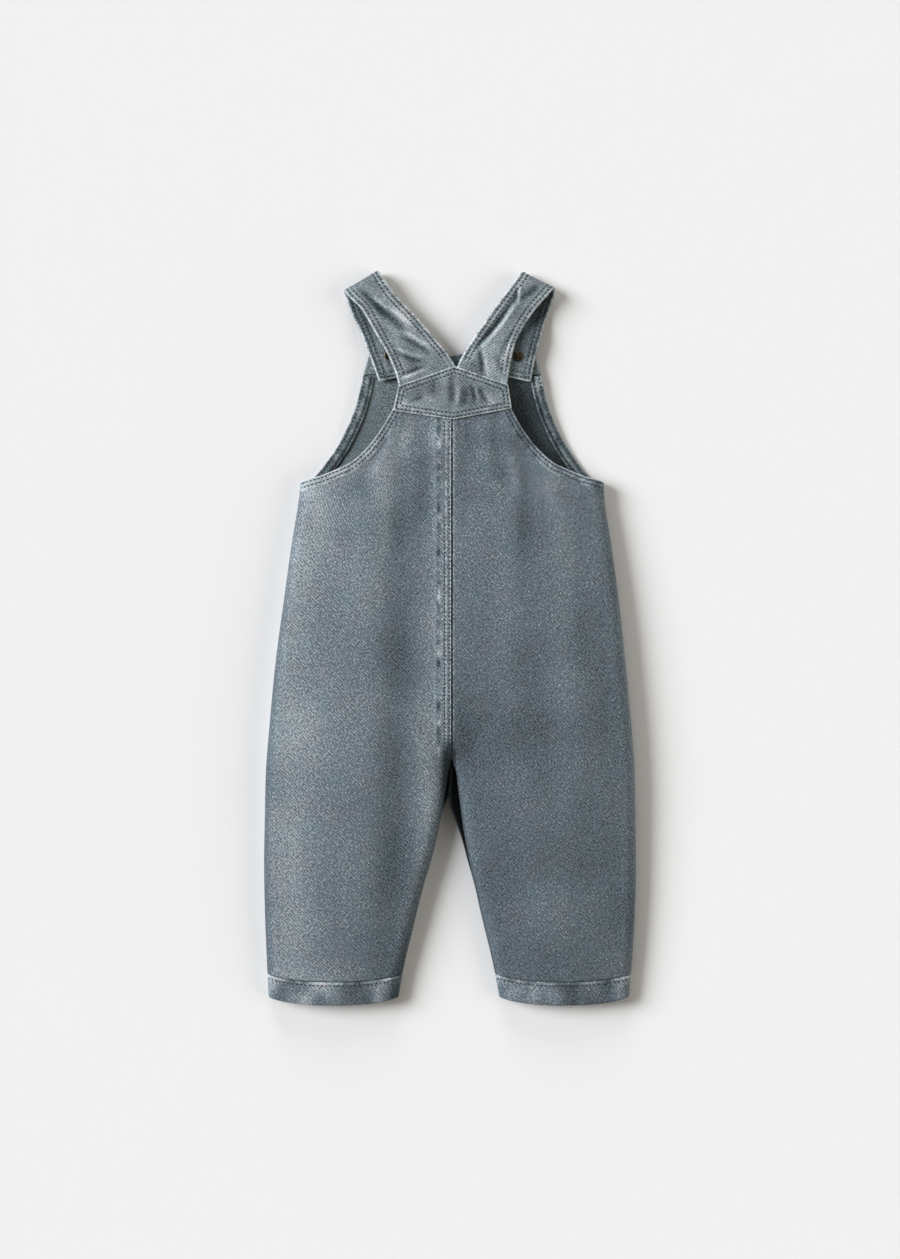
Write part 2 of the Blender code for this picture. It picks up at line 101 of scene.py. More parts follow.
# Thread
STITCH_PITCH = 3.0
HEM_PITCH = 3.1
STITCH_LENGTH = 1.7
THREAD_WIDTH = 0.88
EDGE_ROWS = (1.8, 4.8)        # stitch rows inside the armholes and the yoke's border
STRAP_ROWS = (2.6, 5.8)
STRIP_ROWS = (1.8, 6.6)
ARMHOLE_ROWS = {"back": EDGE_ROWS, "front": STRIP_ROWS}
SEAM_ROWS = (2.1, 5.6)        # rows on the left of the centre seam
HEM_ROW = 2.9                 # row under the hem's upper edge

# Seams and edges of the back
EDGE_BAND = 8.6               # raised band along the armholes
LAP_WIDTH = 10.4              # lap of the centre-back seam
ROPE_AT = 10.0                # roped line along the lap's far edge

FAR = 99.0                    # a distance from an edge or seam that has no effect

# Side seams and the height of the flattened body at each Y
SIDES = table("y left right height", [
    (-282, -137, 135, 13),
    (-272, -138, 136.2, 13.4),
    (-245, -139.4, 138.6, 15),
    (-209, -140.8, 140.6, 16.6),
    (-172, -141.4, 141.4, 17.8),
    (-136, -140.8, 141, 18.8),
    (-99, -139.8, 140.2, 19.6),
    (-63, -136.9, 137.6, 20),
    (-17, -132.4, 133.2, 20),
    (28, -126.4, 128.4, 19.2),
    (74, -120, 122.2, 17.6),
    (101, -115.6, 118, 16.2),
    (118.2, -113.7, 116.7, 15.2),
    (146, -113.7, 116.7, 13.2),
    (163, -113.7, 116.7, 12.4),
    (230, -113.7, 116.7, 12.4),
])

# Inside-leg edges
INNER_LEGS = table("y left right", [
    (-282, -40.4, 39.2),
    (-263, -37.4, 35.6),
    (-245, -33.8, 31.9),
    (-227, -29.4, 27.6),
    (-209, -25, 23.2),
    (-190, -20.2, 19),
    (-163, -12.4, 13.2),
    (-145, -8.4, 10),
    (-127, -4.8, 7.6),
    (-111, -2.4, 5.4),
    (-102, -1, 4.2),
    (-95, 1.35, 1.65),
])

# Shares of the gap below the crotch that the front panels' inner edges fill
PEEKS = table("y left right", [
    (-190, 0, 0),
    (-175, 0, 0.06),
    (-150, 0, 0.32),
    (-138, 0.02, 0.75),
    (-128, 0.20, 1.25),
    (-120, 0.62, 1.40),
    (-108, 0.78, 1.42),
    (-95, 0.78, 1.42),
])
PEEK_REACH = 8.0

# Armholes and top edges, by distance out from the centre seam
EDGE = "out y"
BACK_ARMHOLE = table(EDGE, [
    (115.2, 118.2), (108.5, 120.3), (99.8, 122.8), (88.8, 127.2), (77, 132.8),
    (66, 142.4), (57, 153.3), (50, 164.3), (45.4, 172.6), (41.6, 180),
])
BACK_TOP = table(EDGE, [(41.6, 180), (0, 173)])
FRONT_ARMHOLE = table(EDGE, [
    (115.2, 118.2), (106, 121.8), (95.3, 134), (86.5, 147), (80, 159.5),
    (74.8, 171.5), (71.5, 182), (69, 193), (66.5, 205), (60.3, 225.5),
])
FRONT_TOP = table(EDGE, [(60.3, 225.5), (51, 226.3), (30, 221), (0, 214.7)])
TOP_EDGES = {"back": (BACK_ARMHOLE, BACK_TOP), "front": (FRONT_ARMHOLE, FRONT_TOP)}

YOKE_BOTTOM = [(-43.3, 172.1), (1.9, 165.3), (46.8, 173.7)]
YOKE_TOP_EDGE = [(-39.1, 190.8), (3.4, 206.0), (44.1, 191.9)]

Fold = namedtuple("Fold", "x y towards_x towards_y")
SECTION = "inner_along inner_down outer_along outer_down z"
STRAPS = {
    "left": {
        "fold": Fold(-67.5, 271.9, 0.859, 0.511),
        "back": table(SECTION, [
            (22.5, 103, -19, 92, 11.3),
            (27.5, 93.2, -17, 84.5, 11.3),
            (27.6, 83.5, -14.5, 76.8, 11.3),
            (25.6, 69.6, -12, 60, 11.2),
            (22.2, 48.5, -11.7, 44.8, 11.1),
            (16.2, 21, -11.2, 22, 11),
            (15.2, 5.8, -15, 5.8, 10.9),
        ]),
        "front": table(SECTION, [
            (14.4, 5.8, -16.6, 5.8, 1.5),
            (12.2, 17.8, -19.1, 17.8, 2),
            (10.6, 30.5, -20.3, 30.5, 4.2),
            (8.6, 43, -22.2, 43, 7.2),
            (6.3, 56.8, -24.7, 56.8, 7.2),
            (2.1, 84, -27.9, 73.3, 7.2),
        ]),
    },
    "right": {
        "fold": Fold(67.6, 272.1, -0.892, 0.453),
        "back": table(SECTION, [
            (21.7, 95, -17, 90, 11.3),
            (25.6, 85.1, -14.3, 81.8, 11.3),
            (25.5, 77.3, -10.5, 70, 11.3),
            (24.2, 63, -7, 57, 11.2),
            (22.5, 50.1, -5.6, 47, 11.1),
            (18.8, 25, -7.4, 24.5, 11),
            (15.2, 5.8, -12, 5.8, 10.9),
        ]),
        "front": table(SECTION, [
            (14, 5.8, -15.9, 5.8, 1.5),
            (12, 14, -17.1, 14, 1.8),
            (10, 28.2, -19.2, 28.2, 4.2),
            (7.2, 42, -21.8, 42, 7.2),
            (4.6, 55, -24.6, 55, 7.2),
            (-0.7, 79.9, -29.7, 72.3, 7.2),
        ]),
    },
}

# Main folds of the back. Depth is positive for a ridge and negative for a trough.
CREASE = "x y degrees length width depth bend"
BACK_CREASES = table(CREASE, [
    (-41, 167, 96, 13, 1.3, -0.6, 0.5),
    (-38.6, 166, 98, 14, 1.2, 0.5, 0.5),
    (-35.6, 164.5, 110, 7, 1.1, -0.4, 0),
    (7.2, 161.5, 100, 12, 1.4, -0.6, 0.4),
    (13.5, 158, 97, 16, 2, -0.5, 0.6),
    (28.5, 169, 132, 14, 1.5, 0.5, 1.6),
    (33.5, 163, 126, 16, 1.8, -0.4, 1),
    (-61, 131, 62, 62, 5, -0.7, 4),
    (-50, 140, 62, 56, 4, 0.5, 3),
    (-36, 112, 86, 100, 9, -0.9, 3),
    (-27, 146, 80, 40, 4, -0.4, 1.5),
    (-19, 118, 88, 90, 6.5, -0.8, -2),
    (-9, 128, 92, 80, 5, 0.6, 1),
    (10, 140, 94, 46, 4, -0.7, -1),
    (27, 138, 97, 56, 5.5, 0.7, -1),
    (39, 132, 102, 60, 5, -0.8, -4),
    (50, 128, 108, 60, 5, 0.7, -3),
    (61, 122, 116, 62, 5, -0.4, -4),
    (57, 104, 91, 90, 5.5, -0.7, 1),
    (76, 106, 104, 80, 7, 0.6, 3),
    (-62, 70, 82, 120, 14, 0.6, -4),
    (-16, -78, 118, 52, 7, -0.8, 4),
    (20, -80, 58, 58, 7, -0.6, -4),
    (-30, -62, 128, 60, 9, 0.6, 3),
    (36, -66, 50, 62, 9, 0.6, -3),
    (-41, -60, 90, 330, 11, -1.1, 3),
    (-92, -180, 92, 150, 18, -0.5, -4),
    (62, -176, 93, 150, 17, 0.6, 3),
    (98, -160, 88, 130, 16, -0.6, -4),
    (-100, 20, 80, 150, 14, -0.5, 4),
    (104, 10, 100, 160, 14, -0.7, -4),
])
FRONT_CREASES = table(CREASE, [
    (-50, 40, 84, 140, 12, -0.8, 4),
    (58, 30, 96, 130, 12, -0.8, -4),
    (-20, -76, 120, 60, 8, -0.9, 4),
    (24, -78, 60, 60, 8, -0.9, -4),
    (-80, -180, 90, 140, 14, -0.7, 4),
    (84, -170, 91, 140, 14, -0.7, -3),
])

YOKE_CREASES = table(CREASE, [
    (-27, 180, 22, 14, 1.5, -0.45, 0.5),
    (-34, 177, 30, 14, 2.2, 0.35, 0),
    (-13, 191, 80, 12, 2.2, -0.25, 1),
    (1, 188, 92, 22, 2.6, -0.45, 0),
    (10, 182, 80, 14, 2.6, -0.4, 1),
    (6, 184, 88, 14, 1.4, 0.3, 0),
    (17.5, 185, 102, 13, 1.3, -0.4, 0.5),
    (20.6, 184, 100, 13, 1.3, 0.35, 0.5),
    (24.5, 184, 118, 12, 1.2, -0.35, 0.5),
    (30, 182, 125, 14, 2.2, 0.3, 0.5),
])
STRAP_CREASES = table(CREASE, [
    (-58, 254, 138, 26, 2.4, -0.7, 1),
    (-52.5, 253, 140, 16, 1.6, 0.5, 0.5),
    (-44, 241.5, 139, 30, 3, -0.6, 1.5),
    (-37, 243, 142, 24, 2.2, 0.5, 0),
    (-26, 222, 150, 26, 1.6, -0.6, 1),
    (-25, 226, 148, 24, 1.5, 0.5, 1),
    (-30.7, 212.4, 162, 22, 1.6, -0.5, -1),
    (-31, 215.5, 160, 20, 1.5, 0.5, -1),
    (-41, 222, 122, 26, 1.8, 0.4, 1),
    (-44, 226, 124, 24, 1.6, -0.4, 1),
    (-30, 199.4, 20, 22, 1.2, 0.7, 0.5),
    (-31, 201.8, 20, 22, 1.2, -0.6, 0.5),
    (34.5, 238, 52, 50, 1.6, -0.9, 1.5),
    (37.8, 236.4, 52, 46, 1.8, 0.7, 1.5),
    (52.6, 260, 85, 14, 1.2, 0.6, 0),
    (50.2, 259, 84, 14, 1.2, -0.5, 0),
    (23.4, 210, 96, 20, 1.5, -0.7, 0.5),
    (27.2, 208, 98, 20, 1.5, 0.5, 0.5),
    (37, 207, 110, 16, 2.2, -0.5, 0.5),
    (42.5, 222, 66, 28, 1.6, -0.4, -1),
    (45.5, 221, 66, 26, 1.6, 0.5, -1),
    (60.5, 262, 40, 18, 2.4, -0.5, 1),
])
# Creases down the strap ends inside the bib, through the tacks
STRAP_END_CREASES = table(CREASE, [
    (-49, 211.5, 103.5, 34, 1.3, -0.7, 0),
    (55.5, 225.5, 81.5, 34, 1.3, -0.8, 0),
])

# Broad tone of the back across its width, at the chest and on the legs: 0 is the mid tone. It is partly wash
# and partly painted light from the left: paler on the left, darker towards the right, painted shade in broad
# valleys and a painted highlight on the right edge at the chest.
WASH_AND_LIGHT_ACROSS = table("x chest leg", [
    (-141, 0.15, 0.10),
    (-124, 0.44, 0.28),
    (-95, 0.30, 0.08),
    (-65, 0.08, -0.16),
    (-49, -0.08, -0.36),
    (-35, -0.30, -0.30),
    (-18, -0.04, 0.12),
    (-5, 0.18, 0.14),
    (3, -0.06, -0.30),
    (12, -0.12, -0.42),
    (27, -0.20, -0.44),
    (42, -0.08, -0.50),
    (57, -0.28, -0.47),
    (72, -0.18, -0.44),
    (87, 0.00, -0.34),
    (103, -0.22, -0.40),
    (125, -0.16, -0.44),
    (141, 0.90, -0.20),
])
YOKE_TONE = -0.34
STRAP_TONE = -0.10
STRIP_TONE = -0.15
# Painted light and shade of the fronts, on both their faces: the left front is lighter and the right front
# darker, as the armholes' insides are lit on the left and shaded on the right.
FRONT_LIGHT_AND_SHADE = {"left": 0.20, "right": -0.75}
# Local patches on the back, lighter or darker
PATCHES = table("x y across along tone", [
    (9, -66, 9, 34, -0.20),
    (-34, 150, 8, 20, 0.20),
    (-19, 120, 9, 36, -0.16),
    (58, 158, 8, 12, -0.30),
    (-112, 78, 18, 24, 0.10),
    (13, 150, 7, 24, -0.20),
    (-28, 166, 12, 6, 0.15),
    (44, 150, 10, 10, -0.20),
    (-65, 115, 7, 16, -0.25),
    (-80, 105, 8, 22, -0.15),
    (-49, 76, 6, 18, 0.28),
    (-110, 84, 8, 14, -0.25),
    (-34, 145, 7, 18, 0.32),
    (-5, 140, 7, 20, -0.32),
    (42, 130, 6, 18, -0.26),
    (57, 108, 6, 26, -0.16),
    (72, 141, 6, 12, 0.16),
    (87, 116, 7, 16, -0.28),
    (11, 112, 6, 34, -0.12),
    (-80, 74, 8, 14, -0.12),
])


# -------- form, as in the solids

def clamp(value):
    return np.clip(value, 0.0, 1.0)


def ease(value):
    share = clamp(value)
    return share * share * (3.0 - 2.0 * share)


def quarter_round(value):
    return np.sqrt(np.maximum(0.0, 1.0 - (1.0 - clamp(value)) ** 2))


def through(at, places, values):
    """A smooth curve through the values at rising places, read at one or more places."""
    places = np.asarray(places, dtype=float)
    values = np.asarray(values, dtype=float)
    steps = np.diff(values) / np.diff(places)
    slopes = np.concatenate(([steps[0]], 0.5 * (steps[:-1] + steps[1:]), [steps[-1]]))
    turning = np.concatenate(([False], steps[:-1] * steps[1:] <= 0.0, [False]))
    slopes[turning] = 0.0
    at = np.clip(at, places[0], places[-1])
    index = np.clip(np.searchsorted(places, at, side="right") - 1, 0, len(places) - 2)
    width = places[index + 1] - places[index]
    t = (at - places[index]) / width
    return ((1 + 2 * t) * (1 - t) ** 2 * values[index] + t * (1 - t) ** 2 * width * slopes[index]
            + t * t * (3 - 2 * t) * values[index + 1]
            + t * t * (t - 1) * width * slopes[index + 1])


def column_of(rows, name, at):
    return through(at, [row.y for row in rows], [getattr(row, name) for row in rows])


def hand(side):
    """-1 on the left, +1 on the right."""
    return -1.0 if side == "left" else 1.0


def side_x(side, y):
    return column_of(SIDES, side, y)


def inner_x(side, y):
    """The centre seam's edge above the crotch, and the inside-leg edge below it."""
    seam = CENTRE_X + hand(side) * GAP / 2
    return np.where(y >= CROTCH_Y, seam, column_of(INNER_LEGS, side, y))


def between(side, y, u):
    """X at a share of the way from the side seam to the centre seam or inside leg."""
    return side_x(side, y) + (inner_x(side, y) - side_x(side, y)) * u


def plan(points):
    return points[..., 0], points[..., 1]


def laid_on(surface, side, x, y):
    """Points of a skin over places in plan."""
    return np.stack((x, y, surface(side, x, y)), axis=-1)


def distances(side, x, y):
    """Distance from the side seam, and from the inside leg or the crotch."""
    from_side = np.abs(x - side_x(side, y))
    beside_leg = np.abs(x - inner_x(side, y))
    above_crotch = np.hypot(x - CENTRE_X - hand(side) * GAP / 2, y - CROTCH_Y)
    return from_side, np.where(y >= CROTCH_Y, above_crotch, beside_leg)


def seam_distance(x, y):
    return np.where(y > CROTCH_Y, np.abs(x - CENTRE_X), FAR)


def from_edges(side, x, y):
    """The distances, and how far a place is into the crotch."""
    return (*distances(side, x, y), ease((y - CROTCH_Y + CROTCH_REACH) / CROTCH_REACH))


def back_z(side, x, y):
    """Outer skin of the back."""
    height = column_of(SIDES, "height", y)
    from_side, from_inner, crotch = from_edges(side, x, y)
    inner_radius = SHOULDER_RADIUS + (CROTCH_RADIUS - SHOULDER_RADIUS) * crotch
    rise = 1.0
    for distance, radius in ((from_side, SHOULDER_RADIUS), (from_inner, inner_radius)):
        rise = rise * (SHOULDER_SHARE * quarter_round(distance / radius)
                       + (1.0 - SHOULDER_SHARE) * ease(distance / CROWN_REACH))
    edge = SEAM_SHARE * height + EDGE_TO_EDGE / 2
    return edge + (height - edge) * rise


def front_z(side, x, y):
    """Outer skin of the front."""
    height = column_of(SIDES, "height", y)
    from_side, from_inner, crotch = from_edges(side, x, y)
    inner_radius = UNDER_RADIUS + (UNDER_CROTCH_RADIUS - UNDER_RADIUS) * crotch
    rise = 1.0 - quarter_round(from_side / UNDER_RADIUS) * quarter_round(from_inner / inner_radius)
    lift = BIB_LIFT * ease((y - BIB_LIFT_FROM) / (BIB_LIFT_TO - BIB_LIFT_FROM))
    return (SEAM_SHARE * height - EDGE_TO_EDGE / 2) * rise + lift


TopLine = namedtuple("TopLine", "x y share corner corner_share length")


def top_line(side, face):
    """The armhole and the top edge of the back or front, as one line with a corner."""
    armhole, top = TOP_EDGES[face]
    edges = armhole + top[1:]
    x = np.array([CENTRE_X + hand(side) * max(edge.out, GAP / 2) for edge in edges])
    y = np.array([edge.y for edge in edges])
    run = np.concatenate(([0.0], np.cumsum(np.hypot(np.diff(x), np.diff(y)))))
    share = run / run[-1]
    corner = len(armhole) - 1
    return TopLine(x, y, share, corner, share[corner], run[-1])


def along_top(line, u):
    """A point of the top line, smooth on either side of its corner."""
    u = np.asarray(u, dtype=float)
    first = slice(0, line.corner + 1)
    second = slice(line.corner, None)
    return [np.where(u <= line.corner_share, through(u, line.share[first], places[first]),
                     through(u, line.share[second], places[second])) for places in (line.x, line.y)]


def inside_line(side, line, share, behind, ahead, depth):
    """A point at a depth inside the top line, square to its course between two nearby shares."""
    x, y = along_top(line, share)
    behind_x, behind_y = along_top(line, share - behind)
    ahead_x, ahead_y = along_top(line, share + ahead)
    step = np.hypot(ahead_x - behind_x, ahead_y - behind_y)
    return (x - hand(side) * (ahead_y - behind_y) / step * depth,
            y - np.abs(ahead_x - behind_x) / step * depth)


def hem_curve(u):
    """How far the hem's line rises at a share of the leg's width."""
    return HEM_LIFT * np.abs(2.0 * np.asarray(u) - 1.0) ** 2.5


# -------- grids, noise and folds

def noise(x, y, size, seed):
    """Smooth noise, mostly within -1 to 1, whose bumps are about size apart."""
    random = np.random.default_rng(seed)
    turn = random.uniform(0.0, math.pi)
    shift = random.uniform(0.0, 40.0, 2)
    lattice = random.uniform(-1.0, 1.0, (64, 64))
    a = (x * math.cos(turn) + y * math.sin(turn)) / size + shift[0]
    b = (y * math.cos(turn) - x * math.sin(turn)) / size + shift[1]
    cell_a = np.floor(a).astype(int)
    cell_b = np.floor(b).astype(int)
    total = np.zeros_like(a)
    for i, weight_a in enumerate(spline_weights(a - cell_a)):
        for j, weight_b in enumerate(spline_weights(b - cell_b)):
            total += weight_a * weight_b * lattice[(cell_a + i) % 64, (cell_b + j) % 64]
    return 2.4 * total


def spline_weights(t):
    return ((1 - t) ** 3 / 6, (3 * t ** 3 - 6 * t ** 2 + 4) / 6,
            (-3 * t ** 3 + 3 * t ** 2 + 3 * t + 1) / 6, t ** 3 / 6)


def folds(x, y, creases):
    """Sum of soft ridges and troughs, each strongest at its middle."""
    total = np.zeros_like(x)
    for crease in creases:
        angle = math.radians(crease.degrees)
        along = (x - crease.x) * math.cos(angle) + (y - crease.y) * math.sin(angle)
        across = (y - crease.y) * math.cos(angle) - (x - crease.x) * math.sin(angle)
        reach = along / (crease.length / 2)
        across = across - crease.bend * (reach ** 2 - 0.4)
        total += crease.depth * np.exp(-(across / crease.width) ** 2) * np.exp(-reach ** 4)
    return total


def back_wash_and_light(x, y):
    """Broad tones and local patches of the back: partly wash, partly painted light and shade."""
    places = [row.x for row in WASH_AND_LIGHT_ACROSS]
    chest = through(x, places, [row.chest for row in WASH_AND_LIGHT_ACROSS])
    leg = through(x, places, [row.leg for row in WASH_AND_LIGHT_ACROSS])
    total = chest + (leg - chest) * ease((80.0 - y) / 220.0)
    for patch in PATCHES:
        reach = ((x - patch.x) / patch.across) ** 2 + ((y - patch.y) / patch.along) ** 2
        total += patch.tone * np.exp(-reach)
    return total


def groove(distance, at, width):
    """1 at a line, 0 away from it."""
    return np.exp(-((distance - at) / width) ** 2)


def rows_of(distance, rows):
    """1 along each stitch row, 0 away from them."""
    return sum(groove(distance, row, 0.55) for row in rows)


def unit(vectors):
    return vectors / np.maximum(np.linalg.norm(vectors, axis=-1, keepdims=True), 1e-9)


Skin = namedtuple("Skin", "points across along fade relief edge seam", defaults=(FAR, FAR))


def inset(points, amount):
    """The grid with its border moved in, so that a rounded rim ends on the old border."""
    moved = points.copy()
    moved[0] = points[0] + unit(points[1] - points[0]) * amount
    moved[-1] = points[-1] + unit(points[-2] - points[-1]) * amount
    border = moved.copy()
    border[:, 0] = moved[:, 0] + unit(moved[:, 1] - moved[:, 0]) * amount
    border[:, -1] = moved[:, -1] + unit(moved[:, -2] - moved[:, -1]) * amount
    return border


def normals_of(points, outward, closed=False):
    """Unit normals of a grid, and its unit directions along columns and rows."""
    if closed:
        wrapped = np.concatenate((points[:, -2:-1], points[:, :-1], points[:, :2]), axis=1)
        along_u = wrapped[:, 2:] - wrapped[:, :-2]
    else:
        along_u = np.gradient(points, axis=1)
    along_u = unit(along_u)
    along_v = unit(np.gradient(points, axis=0))
    return outward * unit(np.cross(along_u, along_v)), along_u, along_v


RIM_ANGLES = (45.0, 90.0, 135.0)        # from the outer side, round the cloth's edge


def cloth_object(name, skin, thickness, materials, outward, closed=False):
    """A wall of cloth on a skin: outer side, rounded rim and inner side. outward is +1 where the
    columns' direction turned into the rows' direction points out of the cloth, and else -1."""
    normals, along_u, along_v = normals_of(skin.points, outward, closed)
    outer = skin.points + normals * skin.relief[..., None]
    inner = outer - normals * thickness
    rows, columns = outer.shape[:2]
    count = rows * columns
    index = np.arange(count).reshape(rows, columns)
    here = index if closed else index[:, :-1]
    ahead = np.roll(index, -1, axis=1) if closed else index[:, 1:]
    quads = np.stack((here[:-1], ahead[:-1], ahead[1:], here[1:]), axis=-1).reshape(-1, 4)
    faces = [quads, quads[:, ::-1] + count]
    vertices = [outer.reshape(-1, 3), inner.reshape(-1, 3)]
    sources = [np.arange(count), np.arange(count)]
    outwards = np.zeros_like(outer)
    outwards[0] -= along_v[0]
    outwards[-1] += along_v[-1]
    if closed:
        loops = [index[0], index[-1][::-1]]
    else:
        outwards[:, 0] -= along_u[:, 0]
        outwards[:, -1] += along_u[:, -1]
        loops = [np.concatenate((index[0], index[1:, -1], index[-1, -2::-1], index[-2:0:-1, 0]))]
    outwards = unit(outwards - normals * np.sum(outwards * normals, axis=-1, keepdims=True))
    middle = outer - normals * thickness / 2
    total = 2 * count
    for loop in loops:
        ring_before = loop
        for degrees in RIM_ANGLES:
            angle = math.radians(degrees)
            ring = middle + thickness / 2 * (normals * math.cos(angle) + outwards * math.sin(angle))
            vertices.append(ring.reshape(-1, 3)[loop])
            sources.append(loop)
            ring_now = total + np.arange(len(loop))
            total += len(loop)
            faces.append(band(ring_before, ring_now))
            ring_before = ring_now
        faces.append(band(ring_before, loop + count))
    faces = np.concatenate(faces)
    if outward < 0:
        faces = faces[:, ::-1]
    piece = mesh_object(name, np.concatenate(vertices), faces.tolist(), materials)
    on_inside = np.zeros(len(faces), int)
    on_inside[len(quads):2 * len(quads)] = len(materials) - 1
    piece.data.polygons.foreach_set("material_index", on_inside)
    add_attributes(piece.data, skin, np.concatenate(sources))
    return piece


def wall(name, skin, materials, outward):
    """A piece of single cloth, whose skin reaches to the piece's own border."""
    return cloth_object(name, skin._replace(points=inset(skin.points, CLOTH / 2)), CLOTH, materials, outward)


def band(loop, next_loop):
    """Quads between two rings of vertices, seen from outside the border."""
    return np.stack((np.roll(loop, -1), loop, next_loop, np.roll(next_loop, -1)), axis=-1)


def add_attributes(mesh, skin, sources):
    """The cloth's own coordinates and what the shaders need to know at each point."""
    cloth = np.stack((skin.across, skin.along, np.zeros_like(skin.along)), axis=-1).reshape(-1, 3)
    attribute = mesh.attributes.new("cloth", "FLOAT_VECTOR", "POINT")
    attribute.data.foreach_set("vector", cloth[sources].astype(np.float32).ravel())
    for name in ("edge", "seam", "fade"):
        values = np.broadcast_to(getattr(skin, name), skin.fade.shape).reshape(-1)[sources]
        mesh.attributes.new(name, "FLOAT", "POINT").data.foreach_set("value", values.astype(np.float32))


def mesh_object(name, vertices, faces, materials):
    mesh = bpy.data.meshes.new(name)
    mesh.from_pydata((vertices * MM).tolist(), [], faces)
    mesh.shade_smooth()
    for material in materials:
        mesh.materials.append(material)
    mesh.update()
    return linked(name, mesh)


def linked(name, data):
    """A new object in the scene."""
    made = bpy.data.objects.new(name, data)
    bpy.context.scene.collection.objects.link(made)
    return made


def spaced(length, step, first, last):
    """Places from 0 to length: the given first and last distances, and even steps between."""
    start = first[-1]
    end = length - last[-1]
    count = max(1, round((end - start) / step))
    middle = np.linspace(start, end, count + 1)[1:-1]
    return np.concatenate((first, middle, [length - place for place in reversed(last)]))


def shares(length, step, first=BORDER, last=BORDER):
    """The places of spaced, as shares of the length."""
    return spaced(length, step, first, last) / length


# -------- body panels

ROUNDED = tuple(SHOULDER_RADIUS * (1 - math.cos(math.radians(a))) for a in range(0, 91, 9))
BESIDE_BACK_SEAM = (0.0,) + tuple(0.7 + 0.6 * i for i in range(23))
BESIDE_FRONT_SEAM = (0.0, 0.7, 1.6, 2.8, 4.4, 6.4, 9.0)
BESIDE_EDGE = BORDER + tuple(1.2 + 0.7 * i for i in range(1, 13))
# A panel's grid is laid out at this width and at this height over BLEND_Y, and then stretched.
NOMINAL_WIDTH = 130.0
UPPER_LENGTH = 110.0


def panel_grid(side, line, step, surface):
    """Points of a body panel. Columns run from the side seam to the centre seam or inside leg,
    and rows from above the hem to the armhole and top edge, both bunched where detail is fine."""
    fine = step == FINE
    near_seam = BESIDE_BACK_SEAM if fine else BESIDE_FRONT_SEAM
    near_edge = BESIDE_EDGE if fine else BORDER
    columns = spaced(NOMINAL_WIDTH, step, ROUNDED, near_seam)
    y0 = HEM_MIDDLE_Y + HEM_BAND + GAP
    low = spaced(BLEND_Y - y0, step, BORDER, (0.0,))
    high = spaced(UPPER_LENGTH, step, (0.0,), near_edge)[1:]
    level = np.concatenate((y0 + low, np.full(len(high), BLEND_Y)))
    share = np.concatenate((np.zeros(len(low)), high / UPPER_LENGTH))
    width = np.abs(inner_x(side, level) - side_x(side, level))
    width = width + (line.length - width) * share
    u = stretched(columns, NOMINAL_WIDTH, ROUNDED[-1], near_seam[-1], width)
    v = np.repeat(share[:, None], len(columns), axis=1)
    top_x, top_y = along_top(line, u)
    if fine:
        length = np.hypot(top_x - side_x(side, BLEND_Y) * (1 - u) - CENTRE_X * u, top_y - BLEND_Y)
        reach = near_edge[-1]
        from_top = UPPER_LENGTH * (1 - share)[:, None]
        spread = 1 - (from_top - reach) / (UPPER_LENGTH - reach) * (1 - reach / length) - reach / length
        spread = np.where(from_top <= reach, 1 - from_top / length, spread)
        v = np.where(share[:, None] <= 0, 0.0, spread)
    y = level[:, None] + hem_curve(u) * clamp(1 - (level - y0) / HEM_CURVE_REACH)[:, None]
    x = between(side, y, u)
    raised_y = y + (top_y - y) * v
    straight = side_x(side, BLEND_Y) + (side_x(side, UNDERARM_Y) - side_x(side, BLEND_Y)) * v
    bulge = (side_x(side, np.minimum(raised_y, UNDERARM_Y)) - straight) * (1.0 - u) ** 2
    x = np.where(v > 0.0, x + (top_x - x) * v + bulge, x)
    return laid_on(surface, side, x, np.where(v > 0.0, raised_y, y))


def stretched(places, nominal, first, last, widths):
    """Shares of each width for places that keep their distance from both ends."""
    places = np.asarray(places)[None, :]
    widths = np.asarray(widths)[:, None]
    middle = first + (places - first) * (widths - first - last) / (nominal - first - last)
    placed = np.where(places <= first, places, middle)
    placed = np.where(places >= nominal - last, widths - (nominal - places), placed)
    return placed / widths


def edge_distance(points, line, last_share):
    """Distance in plan from the top line up to one of its shares, and FAR well below the underarm."""
    line_x, line_y = along_top(line, np.linspace(0.0, last_share, 400))
    x, y = plan(points)
    nearest = np.full(x.shape, FAR)
    near = y > UNDERARM_Y - 25.0
    gap = np.hypot(x[near][:, None] - line_x[None, :], y[near][:, None] - line_y[None, :])
    nearest[near] = np.minimum(gap.min(axis=1), FAR)
    return nearest


def across_cloth(side, points):
    """The cloth's own crosswise coordinate: X at the centre or inside leg, and true on the walls."""
    run = run_length(points, axis=1)
    return points[:, -1:, 0] + hand(side) * (run[:, -1:] - run)


